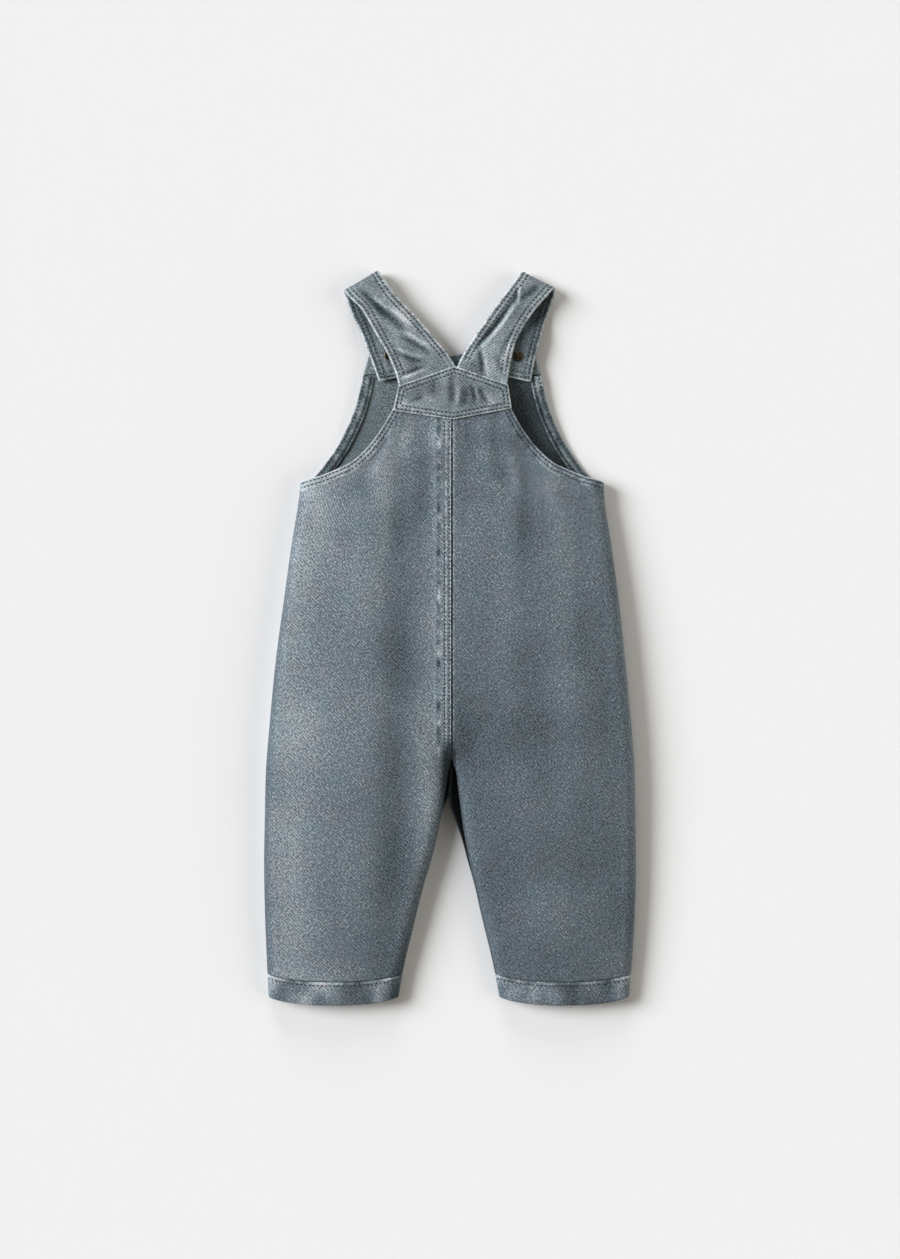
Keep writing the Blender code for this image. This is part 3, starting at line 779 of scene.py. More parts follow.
def back_panel(side, materials):
    """The back of one side. The left one has the lap of the felled centre seam."""
    line = top_line(side, "back")
    points = panel_grid(side, line, FINE, back_z)
    x, y = plan(points)
    edge = edge_distance(points, line, line.corner_share)
    from_side, from_inner = distances(side, x, y)
    on_seam = ease((y - CROTCH_Y - 2.0) / 8.0)
    seam = seam_distance(x, y)
    calm = ease(from_side / 14.0) * ease(np.where(y < CROTCH_Y, from_inner, FAR) / 12.0)
    calm = calm * (1 - 0.75 * ease((y - 140.0) / 20.0))
    crumple = 0.28 * noise(x, y, 34, 11) + 0.14 * noise(x, y, 15, 12) + 0.05 * noise(x, y, 6, 13)
    creased = folds(x, y, BACK_CREASES)
    relief = calm * crumple + ease(from_side / 14.0) * creased
    band_edge = ease((EDGE_BAND - edge) / 1.2)
    pucker = noise(x, y, 2.6, 14)
    relief = relief * (1 - 0.6 * band_edge) + 0.35 * band_edge
    relief += band_edge * (0.10 * pucker - 0.22 * rows_of(edge, EDGE_ROWS))
    open_seam = on_seam * (1 - ease((y - YOKE_COVER_Y) / 5.0))
    if side == "left":
        lap = ease((LAP_WIDTH + 0.6 * noise(x, y, 4.2, 15) - seam) / 2.2)
        relief += open_seam * lap * (0.45 + 0.10 * noise(x, y, 4.4, 16))
        relief -= open_seam * 0.2 * rows_of(seam, SEAM_ROWS)
    else:
        relief += open_seam * ease((6.0 - seam) / 5.0) * (0.1 + 0.10 * noise(x, y, 5, 17))
    under_yoke = 0.15 + 0.5 * ease((YOKE_COVER_Y + 6.0 - y) / 8.0)
    relief = np.where(y > YOKE_COVER_Y - 2.0, np.minimum(relief, under_yoke), relief)
    fade = 0.08 * noise(x, y, 70, 21) + 0.09 * noise(x, y, 24, 22) + 0.20 * crumple + 0.16 * creased
    fade = fade + 0.22 * band_edge * pucker + back_wash_and_light(x, y)
    fade += 0.10 * ease((y - 60.0) / 60.0) * noise(x, y, 9, 24)
    # Below the crotch, painted shade along the legs' inner edges: a wide band on the left leg and a narrow
    # line on the right leg.
    below = ease((CROTCH_Y - y) / 14.0)
    if side == "left":
        # Painted shade on the left panel's side wall, where the key lamp lights it.
        fade -= 0.55 * (1 - ease(from_side / 8.0))
        rope = (0.60 * noise(x * 0.5, y * 1.5, 4, 23) - 0.34) * groove(seam, ROPE_AT, 1.5)
        fade += on_seam * (rope + 0.10 * groove(seam, ROPE_AT + 3.2, 1.0))
        fade -= 0.60 * below * np.exp(-from_inner / 4.5)
    else:
        fade -= 0.60 * below * groove(from_inner, 0.0, 1.6)
    # Painted shade in the crotch: a dark stripe down the centre from just above the crotch downward, wider
    # on the left panel.
    reach = 5.5 if side == "left" else 1.8
    fade -= 3.2 * groove(x, CENTRE_X, reach) * ease((-72.0 - y) / 24.0)
    # The seam's distance is negative on the right, away from the lap.
    skin = Skin(points, across_cloth(side, points), y, fade, relief, edge, -hand(side) * seam)
    return wall(f"back_{side}_cloth", skin, materials, outward=-hand(side))


def front_panel(side, materials):
    """The front of one side. Its inner edge stands out into the gap under the crotch."""
    line = top_line(side, "front")
    points = panel_grid(side, line, COARSE, front_z)
    x, y = plan(points)
    edge = edge_distance(points, line, 1.0)
    from_side, from_inner = distances(side, x, y)
    peek = np.where(y < CROTCH_Y, column_of(PEEKS, side, y) * ease(1 - from_inner / PEEK_REACH), 0.0)
    x = x + peek * (CENTRE_X - inner_x(side, y))
    points[..., 0] = x
    lifted = folds(x, y, FRONT_CREASES) + 0.2 * noise(x, y, 30, 31) - 0.25
    relief = np.minimum(lifted, 0.0) * ease(from_side / 12.0) * (1 - ease((y - 120.0) / 30.0))
    relief = relief * ease(np.where(y < CROTCH_Y, from_inner, FAR) / 10.0)
    relief = relief - 0.15 * rows_of(edge, STRIP_ROWS)
    # Painted shade: near-black where the inner edge stands out into the gap under the crotch. The side's
    # tone here is painted light and shade too.
    fade = 0.12 * noise(x, y, 60, 32) + 0.12 * noise(x, y, 20, 33) + FRONT_LIGHT_AND_SHADE[side] - 2.5 * peek
    skin = Skin(points, across_cloth(side, points), y, fade, relief, edge, seam_distance(x, y))
    return wall(f"front_{side}_cloth", skin, materials, outward=hand(side))


# -------- hems

def hem(side, materials):
    """The turned-up hem, one ring of doubled cloth round the leg."""
    width = abs(inner_x(side, HEM_MIDDLE_Y) - side_x(side, HEM_MIDDLE_Y))
    over = shares(width, 1.3, ROUNDED, ROUNDED)
    turn, above = np.meshgrid(np.concatenate((over, 2.0 - over[::-1][1:-1])),
                              spaced(HEM_BAND, 1.2, (0.0, 1.3), (0.0, 1.3, 1.9, 2.5)))
    on_top = turn <= 1.0
    u = np.where(on_top, turn, 2.0 - turn)
    y = HEM_MIDDLE_Y + above + hem_curve(u)
    x = between(side, y, u)
    z = np.where(on_top, back_z(side, x, y), front_z(side, x, y))
    z = np.where((u <= 0.0) | (u >= 1.0), SEAM_SHARE * column_of(SIDES, "height", y), z)
    points = np.stack((x, y, z), axis=-1)
    points[0] = points[0] + unit(points[1] - points[0]) * DOUBLE / 2
    points[-1] = points[-1] + unit(points[-2] - points[-1]) * DOUBLE / 2
    calm = ease(np.abs(x - side_x(side, y)) / 8.0) * ease(np.abs(x - inner_x(side, y)) / 8.0)
    pucker = noise(x, y * 0.4, 7, 41)
    rope = noise(x, y * 0.5, 3.2, 44)
    from_top = HEM_BAND - above
    upper_edge = groove(from_top, 1.0, 0.9)
    relief = calm * (0.16 * noise(x, y, 16, 42) + 0.20 * pucker + 0.07 * rope) + 0.15 * upper_edge
    relief = np.where(on_top, relief, 0.0) - 0.15 * groove(from_top, HEM_ROW, 0.6)
    fade = 0.12 * noise(x, y, 14, 43) + 0.50 * pucker + 0.12 * rope + (0.36 + 0.5 * rope) * upper_edge
    # The hem takes part of the back's broad tone, with its painted light from the left.
    fade = fade + 0.05 * groove(from_top, HEM_ROW, 0.7) + 0.6 * back_wash_and_light(x, y) + 0.12
    across = points[:, :1, 0] - hand(side) * run_length(points, axis=1)
    skin = Skin(points, across, y, fade, relief)
    return cloth_object(f"hem_{side}_cloth", skin, DOUBLE, materials, outward=-hand(side), closed=True)


# -------- yoke, facings and straps

def yoke(materials):
    """The six-sided piece over the strap ends and the tops of both back panels."""
    width = YOKE_BOTTOM[2][0] - YOKE_BOTTOM[0][0]
    u, v = np.meshgrid(shares(width, 0.9), shares(YOKE_DEPTH, 0.8))
    low, high = [[np.interp(u, (0.0, 0.5, 1.0), places) for places in zip(*line)]
                 for line in (YOKE_BOTTOM, YOKE_TOP_EDGE)]
    x = low[0] + (high[0] - low[0]) * v
    y = low[1] + (high[1] - low[1]) * v
    points = np.stack((x, y, np.full(x.shape, YOKE_TOP)), axis=-1)
    edge = border_distance(points)
    inside = ease(edge / 6.0)
    crumple = 0.12 * noise(x, y * 1.2, 9, 51) + 0.10 * noise(x, y, 4.5, 52)
    creased = folds(x, y, YOKE_CREASES)
    pucker = noise(x, y, 2.6, 53)
    relief = np.maximum(inside * (crumple + creased), -0.3) + 0.10 * (1 - inside) * pucker + 0.25
    relief = relief - 0.22 * rows_of(edge, EDGE_ROWS)
    fade = inside * (1.2 * crumple + 1.5 * creased) + 0.25 * (1 - inside) * pucker
    fade = fade + YOKE_TONE + 0.25 * groove(x, -30.0, 16.0) * groove(y, 176.0, 7.0)
    return wall("yoke_cloth", Skin(points, x, y, fade, relief, edge), materials, outward=1)


def border_distance(points):
    """Distance in plan from the border of an open grid."""
    border = np.concatenate((points[0], points[-1], points[:, 0], points[:, -1]))[:, :2]
    flat = points[..., :2].reshape(-1, 2)
    gap = np.hypot(flat[:, None, 0] - border[None, :, 0], flat[:, None, 1] - border[None, :, 1])
    return gap.min(axis=1).reshape(points.shape[:2])


def inside_front(side, x, y):
    """The skin of a piece that lies on the front's inner side."""
    return front_z(side, x, y) + CLOTH + GAP + CLOTH


def armhole_strip(side, materials):
    """Facing strip on the inner side of the front, along its armhole."""
    line = top_line(side, "front")
    places = np.linspace(0.0, line.corner_share, 200)
    heights = along_top(line, places)[1]
    first, last = np.interp((UNDERARM_Y + 4.5, STRIP_TOP_Y - GAP), heights, places)
    rows, across = np.meshgrid(shares((last - first) * line.length, 1.0),
                               spaced(STRIP_WIDTH, 0.8, BORDER, BORDER))
    x, y = inside_line(side, line, first + (last - first) * rows, 0.0, 0.01, across)
    points = laid_on(inside_front, side, x, y)
    pucker = noise(x, y, 2.8, 61)
    relief = 0.10 * pucker - 0.2 * rows_of(across, STRIP_ROWS)
    fade = 0.30 * pucker + 0.15 * noise(x, y, 12, 62) + STRIP_TONE
    # Painted shade: a dark line 2 mm in from the strip's inner edge.
    fade = fade - 0.7 * groove(across, STRIP_WIDTH - 2.0, 0.8)
    skin = Skin(points, x, y, fade, relief, np.minimum(across, STRIP_WIDTH - across))
    return wall(f"armhole_facing_{side}_cloth", skin, materials, outward=hand(side))


def bib_facing(materials):
    """Facing band on the bib's inner side, from edge to edge under its top edge."""
    u, v = np.meshgrid(np.linspace(0.0, 1.0, 101), shares(FACING_DEPTH, 1.2))
    out = np.abs(2.0 * u - 1.0)
    points = np.zeros(u.shape + (3,))
    for side, half in (("left", u < 0.5), ("right", u >= 0.5)):
        line = top_line(side, "front")
        armhole = slice(0, line.corner + 1)
        top_x, top_y = along_top(line, line.corner_share + (1.0 - line.corner_share) * (1.0 - out))
        top_x = np.where(out <= 0.0, CENTRE_X, top_x)
        edge_x = float(through(STRIP_TOP_Y, line.y[armhole], line.x[armhole]))
        low_x = CENTRE_X + (edge_x - CENTRE_X) * out
        low_y = top_y - FACING_DEPTH
        low_y = low_y + (STRIP_TOP_Y - low_y) * out ** 4
        x = low_x + (top_x - low_x) * v
        y = low_y + (top_y - low_y) * v
        points[half] = laid_on(inside_front, side, x, y)[half]
    x, y = plan(points)
    edge = border_distance(points)
    relief = 0.08 * noise(x, y, 3, 66) * ease((4.0 - edge) / 3.0)
    fade = 0.2 * noise(x, y, 12, 67)
    return wall("bib_facing_cloth", Skin(points, x, y, fade, relief, edge), materials, outward=1)


def strap_points(side, u, v):
    """Middle surface of a strap. v: 0 to 1 down the back layer to the fold, 1 to 2 round it,
    2 to 3 down the front layer; u: 0 at its outer edge, 1 at the edge towards the centre."""
    fold, back, front = [STRAPS[side][name] for name in ("fold", "back", "front")]
    axis_down = back[-1].inner_down
    radius = (back[-1].z - front[0].z) / 2

    def sections(rows, last, share):
        runs = np.array([0.5 * (row.inner_down + row.outer_down) - axis_down for row in rows])
        order = np.argsort(runs)
        return [through(runs[last] * share, runs[order], np.array(column)[order]) for column in zip(*rows)]

    on_back = sections(back, 0, 1.0 - np.clip(v, 0.0, 1.0))
    on_front = sections(front, -1, np.clip(v - 2.0, 0.0, 1.0))
    share = np.clip(v - 1.0, 0.0, 1.0)
    inner_along, inner_down, outer_along, outer_down, z = [
        before + (after - before) * share for before, after in zip(on_back, on_front)]
    along = outer_along + (inner_along - outer_along) * u
    down = outer_down + (inner_down - outer_down) * u
    turning = (v > 1.0) & (v < 2.0)
    z = np.where(turning, back[-1].z - radius + radius * np.cos(math.pi * share), z)
    down = np.where(turning, axis_down - radius * np.sin(math.pi * share), down)
    down_x = -hand(side) * abs(fold.towards_y)
    down_y = -abs(fold.towards_x)
    return np.stack((fold.x + along * fold.towards_x + down * down_x,
                     fold.y + along * fold.towards_y + down * down_y, z), axis=-1)


def strap(side, materials):
    """A ribbon from under the yoke, over its fold and down inside the bib."""
    rows = np.concatenate((shares(STRAP_BACK, 1.2, (0.0, 1.6), (0.0,)),
                           1.0 + np.linspace(0.0, 1.0, 15)[1:],
                           2.0 + shares(STRAP_FRONT, 1.2, (0.0,), (0.0, 1.6))[1:]))
    u, v = np.meshgrid(shares(STRAP_WIDTH, 1.0, (0.0, 1.4), (0.0, 1.4)), rows)
    middle = strap_points(side, u, v)
    x, y = plan(middle)
    along = run_length(middle, axis=0)
    across = run_length(middle, axis=1)
    edge = np.minimum(across, across[:, -1:] - across)
    ends = np.minimum(along, along[-1:] - along)
    edge = np.where(v > 2.0, np.minimum(edge, ends), edge)
    inside = ease((edge - 1.0) / 5.0)
    seed = 70 if side == "left" else 80
    crumple = 0.09 * noise(across, along * 0.30, 5, seed) \
        + 0.06 * noise(across, along * 0.55, 3.2, seed + 1) + 0.16 * noise(across, along, 11, seed + 2)
    pucker = noise(across, along, 2.6, seed + 3)
    on_back = 1 - ease((v - 1.0) / 0.5)
    creased = 1.3 * on_back * folds(x, y, STRAP_CREASES) - ease(v - 2.0) * folds(x, y, STRAP_END_CREASES)
    relief = inside * (crumple + creased) + 0.08 * (1 - inside) * pucker
    relief = np.where(v > 1.5, -np.abs(relief), relief)
    under_yoke = np.where(v < 1.0, 1 - ease((along - 18.0) / 8.0), 0.0)
    relief = relief * (1 - under_yoke) - 0.1 * under_yoke - 0.2 * rows_of(edge, STRAP_ROWS)
    fade = inside * (1.3 * crumple + on_back * creased) + 0.25 * (1 - inside) * pucker
    # Painted shade on the strap's front layer: darkest by the fold under the back layer, a little lighter
    # towards its end.
    fade = fade + STRAP_TONE - (1 - on_back) * (0.45 - 0.55 * ease((v - 2.0) / 0.9))
    base = inset(middle, DOUBLE / 2)
    points = base + normals_of(base, -hand(side))[0] * DOUBLE / 2
    skin = Skin(points, across, along, fade, relief, edge)
    return cloth_object(f"strap_{side}_cloth", skin, DOUBLE, materials, outward=-hand(side))


def run_length(points, axis):
    """Distance run along a grid direction from its first line."""
    steps = np.linalg.norm(np.diff(points, axis=axis), axis=-1)
    run = np.cumsum(steps, axis=axis)
    pad = [(0, 0), (0, 0)]
    pad[axis] = (1, 0)
    return np.pad(run, pad)


# -------- stitches

RING = 6                      # sides of a thread
ARCH = 0.22                   # rise of a stitch's middle over the cloth, in thread widths
# Place along half a stitch, and the thread's thickness there
STITCH_SHAPE = [(-1.0, 0.35), (-0.8, 0.8), (-0.3, 1.0), (0.3, 1.0), (0.8, 0.8), (1.0, 0.35)]


def resampled(path, pitch):
    """Middles and unit directions of the stitches along a path in space."""
    run = np.concatenate(([0.0], np.cumsum(np.linalg.norm(np.diff(path, axis=0), axis=1))))
    count = max(1, int(run[-1] / pitch))
    places = (np.arange(count) + 0.5) * run[-1] / count
    middles, ahead, behind = [
        np.stack([np.interp(places + shift, run, path[:, i]) for i in range(3)], axis=1)
        for shift in (0.0, 0.6, -0.6)]
    return middles, unit(ahead - behind)


def stitches(name, cloth, paths, material, pitch=STITCH_PITCH):
    """Rows of stitches lying in the cloth nearest to each path: arched capsules in one mesh,
    pressed flat where they meet the floor."""
    tree = BVHTree.FromPolygons([tuple(v.co / MM) for v in cloth.data.vertices],
                                [tuple(face.vertices) for face in cloth.data.polygons])
    random = np.random.default_rng(len(name))
    turns = np.linspace(0.0, 2 * math.pi, RING, endpoint=False)[:, None]
    rings = []
    for path in paths:
        for middle, along in zip(*resampled(path, pitch)):
            found, normal, _, _ = tree.find_nearest(Vector(middle))
            normal = np.array(normal)
            along = unit(along - normal * np.dot(along, normal))
            beside = np.cross(normal, along)
            along = unit(along + beside * random.normal(0.0, 0.05))
            half = 0.5 * STITCH_LENGTH * pitch / STITCH_PITCH * random.uniform(0.92, 1.06)
            for reach, swell in STITCH_SHAPE:
                arch = THREAD_WIDTH * (ARCH - 0.5 * reach * reach)
                centre = np.array(found) + along * reach * half + normal * arch
                radius = 0.5 * THREAD_WIDTH * swell
                rings.append(centre + radius * (beside * np.cos(turns) + normal * np.sin(turns)))
    vertices = np.concatenate(rings)
    vertices[:, 2] = np.maximum(vertices[:, 2], 0.0)
    here = np.arange(len(vertices)).reshape(-1, len(STITCH_SHAPE), RING)
    beyond = np.roll(here, -1, axis=2)
    sides = np.stack((here[:, :-1], here[:, 1:], beyond[:, 1:], beyond[:, :-1]), axis=-1)
    faces = sides.reshape(-1, 4).tolist() + here[:, 0].tolist() + here[:, -1, ::-1].tolist()
    piece = mesh_object(name, vertices, faces, [material])
    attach(piece, "root")
    return piece


def armhole_rows(side, face, surface, first, last):
    """Paths of the stitch rows inside an armhole, between two shares of it."""
    line = top_line(side, face)
    share = np.linspace(first, last, 160) * line.corner_share
    return [laid_on(surface, side, *inside_line(side, line, share, 0.005, 0.005, depth))
            for depth in ARMHOLE_ROWS[face]]


def seam_rows(side, surface, low, high):
    """Paths of the two rows beside the centre seam, which belong to the left side."""
    offsets = SEAM_ROWS if side == "left" else ()
    return [laid_on(surface, side, *polyline([(CENTRE_X - offset, low), (CENTRE_X - offset, high)]))
            for offset in offsets]


def inner_polygon(corners, depth):
    """A closed outline, given anticlockwise, moved in by a depth."""
    corners = np.array(corners)
    before = unit(corners - np.roll(corners, 1, axis=0))
    after = unit(np.roll(corners, -1, axis=0) - corners)
    inward_before = np.stack((-before[:, 1], before[:, 0]), axis=1)
    inward_after = np.stack((-after[:, 1], after[:, 0]), axis=1)
    mitre = inward_before + inward_after
    scale = depth / np.sum(mitre * inward_before, axis=1, keepdims=True)
    return corners + mitre * scale


def polyline(corners):
    """X and Y of places every millimetre or so along a polyline."""
    corners = np.array(corners, dtype=float)
    parts = []
    for start, end in zip(corners[:-1], corners[1:]):
        count = max(2, int(np.hypot(*(end - start))))
        parts.append(start + (end - start) * np.linspace(0.0, 1.0, count, endpoint=False)[:, None])
    return np.concatenate(parts + [corners[-1:]]).T


def stitch_back(side, cloth, thread):
    paths = armhole_rows(side, "back", back_z, 0.01, 0.93) + seam_rows(side, back_z, -90.0, 164.5)
    return stitches(f"thread_back_{side}", cloth, paths, thread)


def stitch_yoke(cloth, thread):
    paths = []
    for depth in EDGE_ROWS:
        inner = inner_polygon(YOKE_BOTTOM + YOKE_TOP_EDGE[::-1], depth)
        x, y = polyline(np.concatenate((inner, inner[:1])))
        paths.append(np.column_stack((x, y, np.full(x.shape, YOKE_TOP))))
    return stitches("thread_yoke", cloth, paths, thread)


def stitch_hem(side, cloth, thread):
    u = np.linspace(0.004, 0.996, 120)
    y = HEM_MIDDLE_Y + HEM_BAND - HEM_ROW + hem_curve(u)
    paths = [laid_on(surface, side, between(side, y, u), y) for surface in (back_z, front_z)]
    return stitches(f"thread_hem_{side}", cloth, paths, thread, HEM_PITCH)


def stitch_strap(side, cloth, thread):
    """Rows beside both edges on both faces, and two across the end."""
    paths = []
    for first, last, face in ((0.18, 1.98, 1.0), (1.05, 2.97, -1.0)):
        u, v = np.meshgrid(np.linspace(0.0, 1.0, 40), np.linspace(first, last, 200))
        middle = strap_points(side, u, v)
        skin = middle + face * normals_of(middle, -hand(side))[0] * DOUBLE / 2
        width = run_length(middle, axis=1)[:, -1]
        for depth in STRAP_ROWS:
            for share in (depth / width, (width - depth) / width):
                paths.append(np.stack([between_columns(skin[..., i], share) for i in range(3)], axis=-1))
    for depth in STRAP_ROWS:
        u = np.linspace(0.1, 0.9, 40)
        v = np.full(u.shape, 3.0 - depth / STRAP_FRONT)
        paths.append(strap_points(side, u, v) + np.array([0.0, 0.0, DOUBLE / 2]))
    return stitches(f"thread_strap_{side}", cloth, paths, thread)


def between_columns(values, share):
    """Each row's value at a share of its width."""
    place = share * (values.shape[1] - 1)
    low = np.clip(np.floor(place).astype(int), 0, values.shape[1] - 2)
    rows = np.arange(values.shape[0])
    return values[rows, low] + (values[rows, low + 1] - values[rows, low]) * (place - low)


def stitch_strip(side, cloth, thread):
    paths = armhole_rows(side, "front", inside_front, 0.06, 0.80)
    return stitches(f"thread_facing_{side}", cloth, paths, thread)


def stitch_front(side, cloth, thread):
    """Rows on the underside, beside the armhole and the centre-front seam."""
    paths = armhole_rows(side, "front", front_z, 0.01, 0.99) + seam_rows(side, front_z, -88.0, 205.0)
    return stitches(f"thread_front_{side}", cloth, paths, thread)


# -------- materials

def node(tree, kind, **settings):
    made = tree.nodes.new(kind)
    for name, value in settings.items():
        setattr(made, name, value)
    return made


def new_material(name, roughness):
    """A material, its node tree and its shader."""
    material = bpy.data.materials.new(name)
    material.use_nodes = True
    shader = material.node_tree.nodes["Principled BSDF"]
    shader.inputs["Roughness"].default_value = roughness
    return material, material.node_tree, shader


class Value:
    """A number in a shader, for plain arithmetic with numbers and other values."""

    def __init__(self, tree, socket):
        self.tree = tree
        self.socket = socket

    def maths(self, operation, other=0.0):
        made = node(self.tree, "ShaderNodeMath", operation=operation)
        self.tree.links.new(self.socket, made.inputs[0])
        if isinstance(other, Value):
            self.tree.links.new(other.socket, made.inputs[1])
        else:
            made.inputs[1].default_value = other
        return Value(self.tree, made.outputs[0])

    def __add__(self, other):
        return self.maths("ADD", other)

    def __mul__(self, other):
        return self.maths("MULTIPLY", other)

    def feed(self, entry):
        self.tree.links.new(self.socket, entry)


def attribute(tree, name):
    return Value(tree, node(tree, "ShaderNodeAttribute", attribute_name=name).outputs["Fac"])


def noise_of(tree, vector, scale, stretch=(1.0, 1.0, 1.0), detail=2.0, roughness=0.5):
    """Noise from -0.5 to 0.5 over coordinates. The scale is in features to one unit of them."""
    placed = node(tree, "ShaderNodeVectorMath", operation="MULTIPLY")
    tree.links.new(vector, placed.inputs[0])
    placed.inputs[1].default_value = stretch
    made = node(tree, "ShaderNodeTexNoise")
    tree.links.new(placed.outputs[0], made.inputs["Vector"])
    for name, value in (("Scale", scale), ("Detail", detail), ("Roughness", roughness)):
        made.inputs[name].default_value = value
    return Value(tree, made.outputs["Fac"]) + -0.5


def colour_stops(factor, stops):
    """The colour that a value picks between stops, each a place and a colour."""
    ramp = node(factor.tree, "ShaderNodeValToRGB")
    elements = ramp.color_ramp.elements
    while len(elements) < len(stops):
        elements.new(0.5)
    for element, (place, colour) in zip(elements, stops):
        element.position = place
        element.color = (*colour, 1.0)
    factor.feed(ramp.inputs["Fac"])
    return ramp.outputs["Color"]


TWILL_PITCH = 1.8
TWILL_DEGREES = 45.0

Wash = namedtuple("Wash", "dark middle light twill grain mottle")
BODY_WASH = Wash((0.022, 0.031, 0.038), (0.128, 0.159, 0.183), (0.46, 0.50, 0.52), 0.20, 1.6, 0.5)
WORN_WASH = Wash((0.030, 0.041, 0.047), (0.195, 0.233, 0.252), (0.60, 0.64, 0.65), 0.20, 1.25, 0.6)
INSIDE_WASH = Wash((0.018, 0.024, 0.028), (0.105, 0.138, 0.152), (0.38, 0.43, 0.44), 0.10, 1.5, 0.4)


def denim(name, wash, rows, pale_edge, seam_lines=False):
    """Washed denim: broken twill lines, yarn grain, mottled wash, pale edges and rows that are partly rubbed
    wear and partly painted highlight, and a tone that carries the wash with painted light and shade.
    """
    material, tree, shader = new_material(name, 0.88)
    cloth = node(tree, "ShaderNodeAttribute", attribute_name="cloth").outputs["Vector"]
    turned = node(tree, "ShaderNodeVectorRotate", rotation_type="Z_AXIS")
    turned.inputs["Angle"].default_value = math.radians(TWILL_DEGREES)
    tree.links.new(cloth, turned.inputs["Vector"])
    parts = node(tree, "ShaderNodeSeparateXYZ")
    tree.links.new(turned.outputs[0], parts.inputs[0])
    lines = Value(tree, parts.outputs["Y"]) * (1.0 / TWILL_PITCH) + noise_of(tree, cloth, 0.20) * 1.2
    twill = (lines * (2 * math.pi)).maths("SINE") * (noise_of(tree, cloth, 0.35) * 1.6 + 1.0)
    yarn = noise_of(tree, turned.outputs[0], 0.80, stretch=(0.75, 1.0, 1.0), detail=0.0)
    mottle = noise_of(tree, cloth, 0.16, detail=4.0, roughness=0.6)
    weave = twill * wash.twill + yarn * wash.grain
    # The tone attribute read here carries the cloth's wash together with painted light and shade.
    tone = weave + mottle * wash.mottle + attribute(tree, "fade") + edge_wear_and_highlight(tree, cloth, rows, pale_edge)
    if seam_lines:
        tone = tone + seam_wear_and_light(tree, cloth)
    colour = colour_stops(tone * 0.5 + 0.5, [(0.0, wash.dark), (0.5, wash.middle), (1.0, wash.light)])
    tree.links.new(tinted(tree, colour, cloth), shader.inputs["Base Color"])
    shader.inputs["Sheen Weight"].default_value = 0.10
    shader.inputs["Sheen Roughness"].default_value = 0.5
    shader.inputs["Specular IOR Level"].default_value = 0.2
    bump = node(tree, "ShaderNodeBump")
    bump.inputs["Strength"].default_value = 0.7
    bump.inputs["Distance"].default_value = 0.12 * MM
    (mottle * 1.2 + weave).feed(bump.inputs["Height"])
    tree.links.new(bump.outputs["Normal"], shader.inputs["Normal"])
    return material


def tinted(tree, colour, cloth):
    """The colour drifting between a teal and a mauve cast, in blotches of two sizes."""
    drift = noise_of(tree, cloth, 0.05)
    speck = noise_of(tree, cloth, 0.45, detail=1.0)
    share = speck * 1.3 + drift * 2.4 + 0.5
    cast = colour_stops(share, [(0.1, (0.945, 1.022, 1.025)), (0.9, (1.04, 0.988, 1.008))])
    mix = node(tree, "ShaderNodeMix", data_type="RGBA", blend_type="MULTIPLY")
    mix.inputs["Factor"].default_value = 1.0
    tree.links.new(colour, mix.inputs[6])
    tree.links.new(cast, mix.inputs[7])
    return mix.outputs[2]


def bell(distance, at, width):
    """1 where the distance is at, falling away within width."""
    gap = (distance + -at).maths("ABSOLUTE")
    return (gap * (-1.0 / width) + 1.0).maths("MAXIMUM")


def edge_wear_and_highlight(tree, cloth, rows, pale_edge):
    """Pale edge and ridges beside the stitch rows, partly rubbed wear and partly painted highlight, and a
    darker line at each row, painted shade.
    """
    edge = attribute(tree, "edge")
    patchy = noise_of(tree, cloth, 0.35) * 2.0 + 1.0
    rubbed_and_lit = bell(edge, 0.1, 1.1) * pale_edge + bell(edge, (rows[0] + rows[1]) / 2, 1.0) * 0.36 \
        + bell(edge, rows[1] + 1.6, 1.2) * 0.2
    shaded = bell(edge, rows[0], 0.8) + bell(edge, rows[1], 0.8)
    return rubbed_and_lit * patchy + shaded * -0.05


# Lines of the centre seam: the pale ones are partly wear and partly painted highlight, the dark ones painted
# shade.
SEAM_LINES = table("at width strength", [
    (1.3, 0.9, 0.95),
    (-1.2, 0.9, 0.5),
    (4.5, 1, 0.45),
    (0, 0.8, -1.4),
    (SEAM_ROWS[0], 0.7, -0.3),
    (SEAM_ROWS[1], 0.7, -0.15),
])


def seam_wear_and_light(tree, cloth):
    """Pale ridges and dark lines of the felled centre seam, whose lap is on the left. The pale ridges are
    partly wear and partly painted highlight; the dark lines are painted shade in the seam's groove and at
    its stitch rows.
    """
    seam = attribute(tree, "seam")
    lines = [bell(seam, line.at, line.width) * line.strength for line in SEAM_LINES]
    return sum(lines[1:], lines[0]) * (noise_of(tree, cloth, 0.45, detail=0.0) * 3.5 + 0.9)


def speckled(name, stops, roughness, scale, detail):
    """A material whose colour drifts between two in fine specks, and the specks' value."""
    material, tree, shader = new_material(name, roughness)
    place = node(tree, "ShaderNodeTexCoord").outputs["Object"]
    specks = noise_of(tree, place, scale, detail=detail)
    tree.links.new(colour_stops(specks * 1.6 + 0.5, stops), shader.inputs["Base Color"])
    return material, shader, specks


def brass(name):
    # Near-black metal: its darkness is partly painted shade, as the tacks lie in creases inside the bib.
    stops = [(0.2, (0.028, 0.026, 0.024)), (0.8, (0.11, 0.08, 0.05))]
    material, shader, tarnish = speckled(name, stops, 0.42, 900.0, 4.0)
    shader.inputs["Metallic"].default_value = 1.0
    (tarnish * 0.5 + 0.42).feed(shader.inputs["Roughness"])
    return material


def cotton(name):
    """Dull dark thread, with paler and darker stitches. Its near-black colour is partly painted shade of the
    stitch holes.
    """
    stops = [(0.1, (0.009, 0.012, 0.016)), (0.9, (0.026, 0.032, 0.038))]
    return speckled(name, stops, 0.8, 260.0, 2.0)[0]


# -------- studio

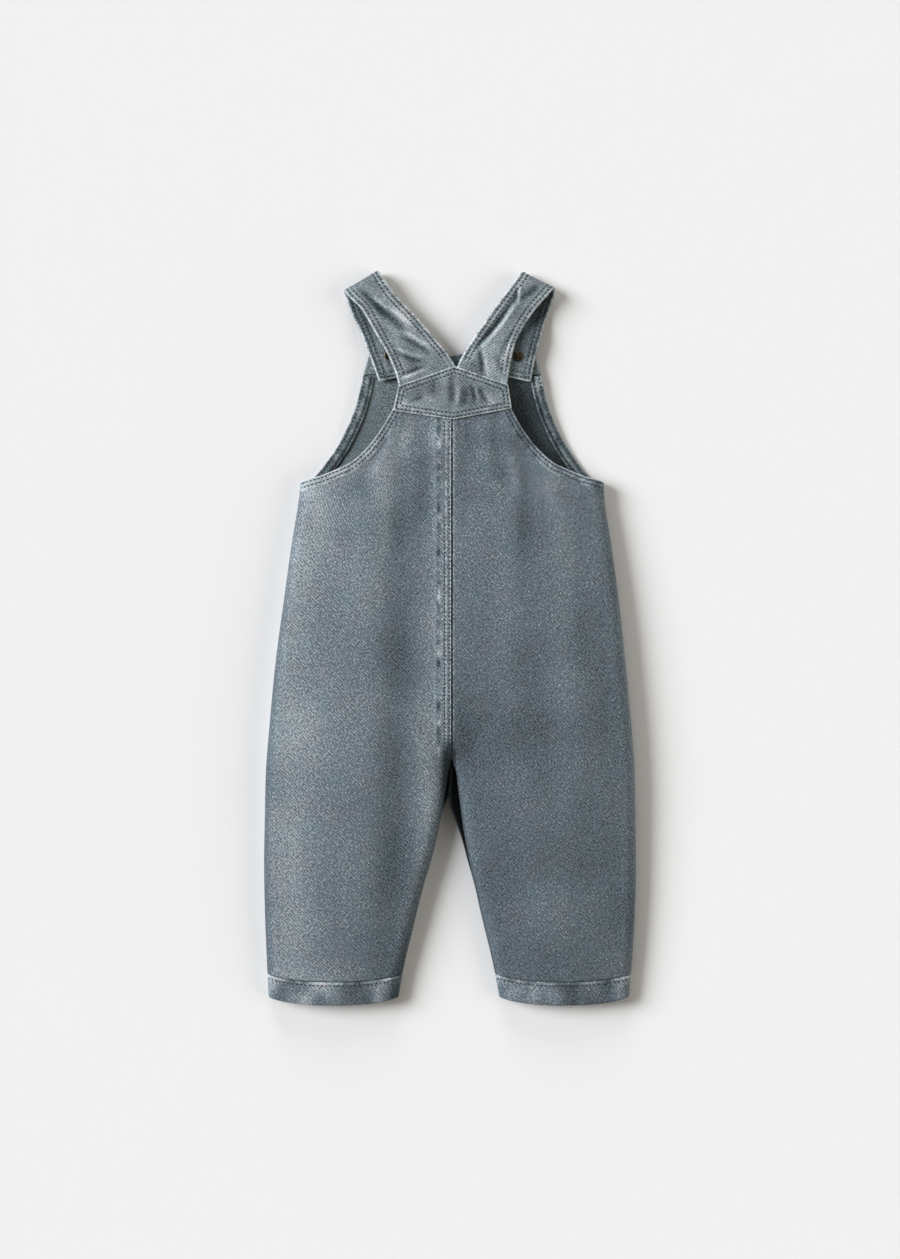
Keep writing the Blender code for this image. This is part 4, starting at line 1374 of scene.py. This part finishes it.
FLOOR_TONE = 0.80
FLOOR_REACH = 6.0
FILL_COLOUR = (1.0, 0.91, 0.76)
FILL_STRENGTH = 0.14
# Wide lamps: name, strength, colour, and in degrees the spread, elevation and bearing they stand at
SUNS = [
    ("key", 4.42, (1.0, 1.022, 1.064), 32.0, 29.0, 163.0),
    ("head", 1.30, (1.0, 1.0, 1.0), 26.0, 15.0, 98.0),
    ("rim", 1.55, (1.0, 0.97, 0.90), 50.0, 20.0, -8.0),
]
VIEW_HEIGHT = 0.957           # metres of floor that the picture's long side shows
LENS = 85.0
SENSOR = 36.0
CAMERA_Y = 0.0061


def studio():
    scene = bpy.context.scene
    scene.view_settings.view_transform = "Standard"
    corners = [(x * FLOOR_REACH, y * FLOOR_REACH, 0.0) for x, y in ((-1, -1), (1, -1), (1, 1), (-1, 1))]
    floor = bpy.data.meshes.new("floor")
    floor.from_pydata(corners, [], [(0, 1, 2, 3)])
    material, _, shader = new_material("floor", 0.95)
    shader.inputs["Base Color"].default_value = (FLOOR_TONE, FLOOR_TONE, FLOOR_TONE, 1.0)
    floor.materials.append(material)
    linked("floor", floor)

    scene.world = bpy.data.worlds.new("studio")
    scene.world.use_nodes = True
    background = scene.world.node_tree.nodes["Background"]
    background.inputs["Color"].default_value = (*FILL_COLOUR, 1.0)
    background.inputs["Strength"].default_value = FILL_STRENGTH

    for name, energy, colour, spread, elevation, azimuth in SUNS:
        light = bpy.data.lights.new(name, "SUN")
        light.energy = energy
        light.color = colour
        light.angle = math.radians(spread)
        tilt = math.radians(90.0 - elevation)
        linked(name, light).rotation_euler = (tilt, 0.0, math.radians(azimuth + 90.0))

    lens = bpy.data.cameras.new("camera")
    lens.lens = LENS
    lens.sensor_width = SENSOR
    lens.clip_end = 50.0
    scene.camera = linked("camera", lens)
    scene.camera.location = (0.0, CAMERA_Y, VIEW_HEIGHT * LENS / SENSOR + 0.008)


# -------- assembly

def settle(piece, replaced):
    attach(piece, "root")
    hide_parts(replaced)


def main():
    studio()
    body = denim("denim", BODY_WASH, EDGE_ROWS, 0.75, seam_lines=True)
    bare = denim("denim_yoke", WORN_WASH, EDGE_ROWS, 0.85)
    worn = denim("denim_strap", WORN_WASH, STRAP_ROWS, 0.75)
    inside = denim("denim_inside", INSIDE_WASH, STRIP_ROWS, 0.45)
    thread = cotton("thread")
    metal = brass("brass")
    for side in ("left", "right"):
        back = back_panel(side, [body, inside])
        settle(back, f"back_{side}")
        stitch_back(side, back, thread)
        front = front_panel(side, [body, inside])
        settle(front, f"front_{side}")
        stitch_front(side, front, thread)
        ring = hem(side, [body])
        settle(ring, f"hem_{side}")
        stitch_hem(side, ring, thread)
        ribbon = strap(side, [worn, inside])
        settle(ribbon, f"strap_{side}")
        stitch_strap(side, ribbon, thread)
        strip = armhole_strip(side, [inside])
        settle(strip, f"armhole_facing_{side}")
        stitch_strip(side, strip, thread)
        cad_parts[f"button_{side}"].data.materials.clear()
        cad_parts[f"button_{side}"].data.materials.append(metal)
    top = yoke([bare])
    settle(top, "yoke")
    stitch_yoke(top, thread)
    facing = bib_facing([inside])
    settle(facing, "bib_facing")


main()
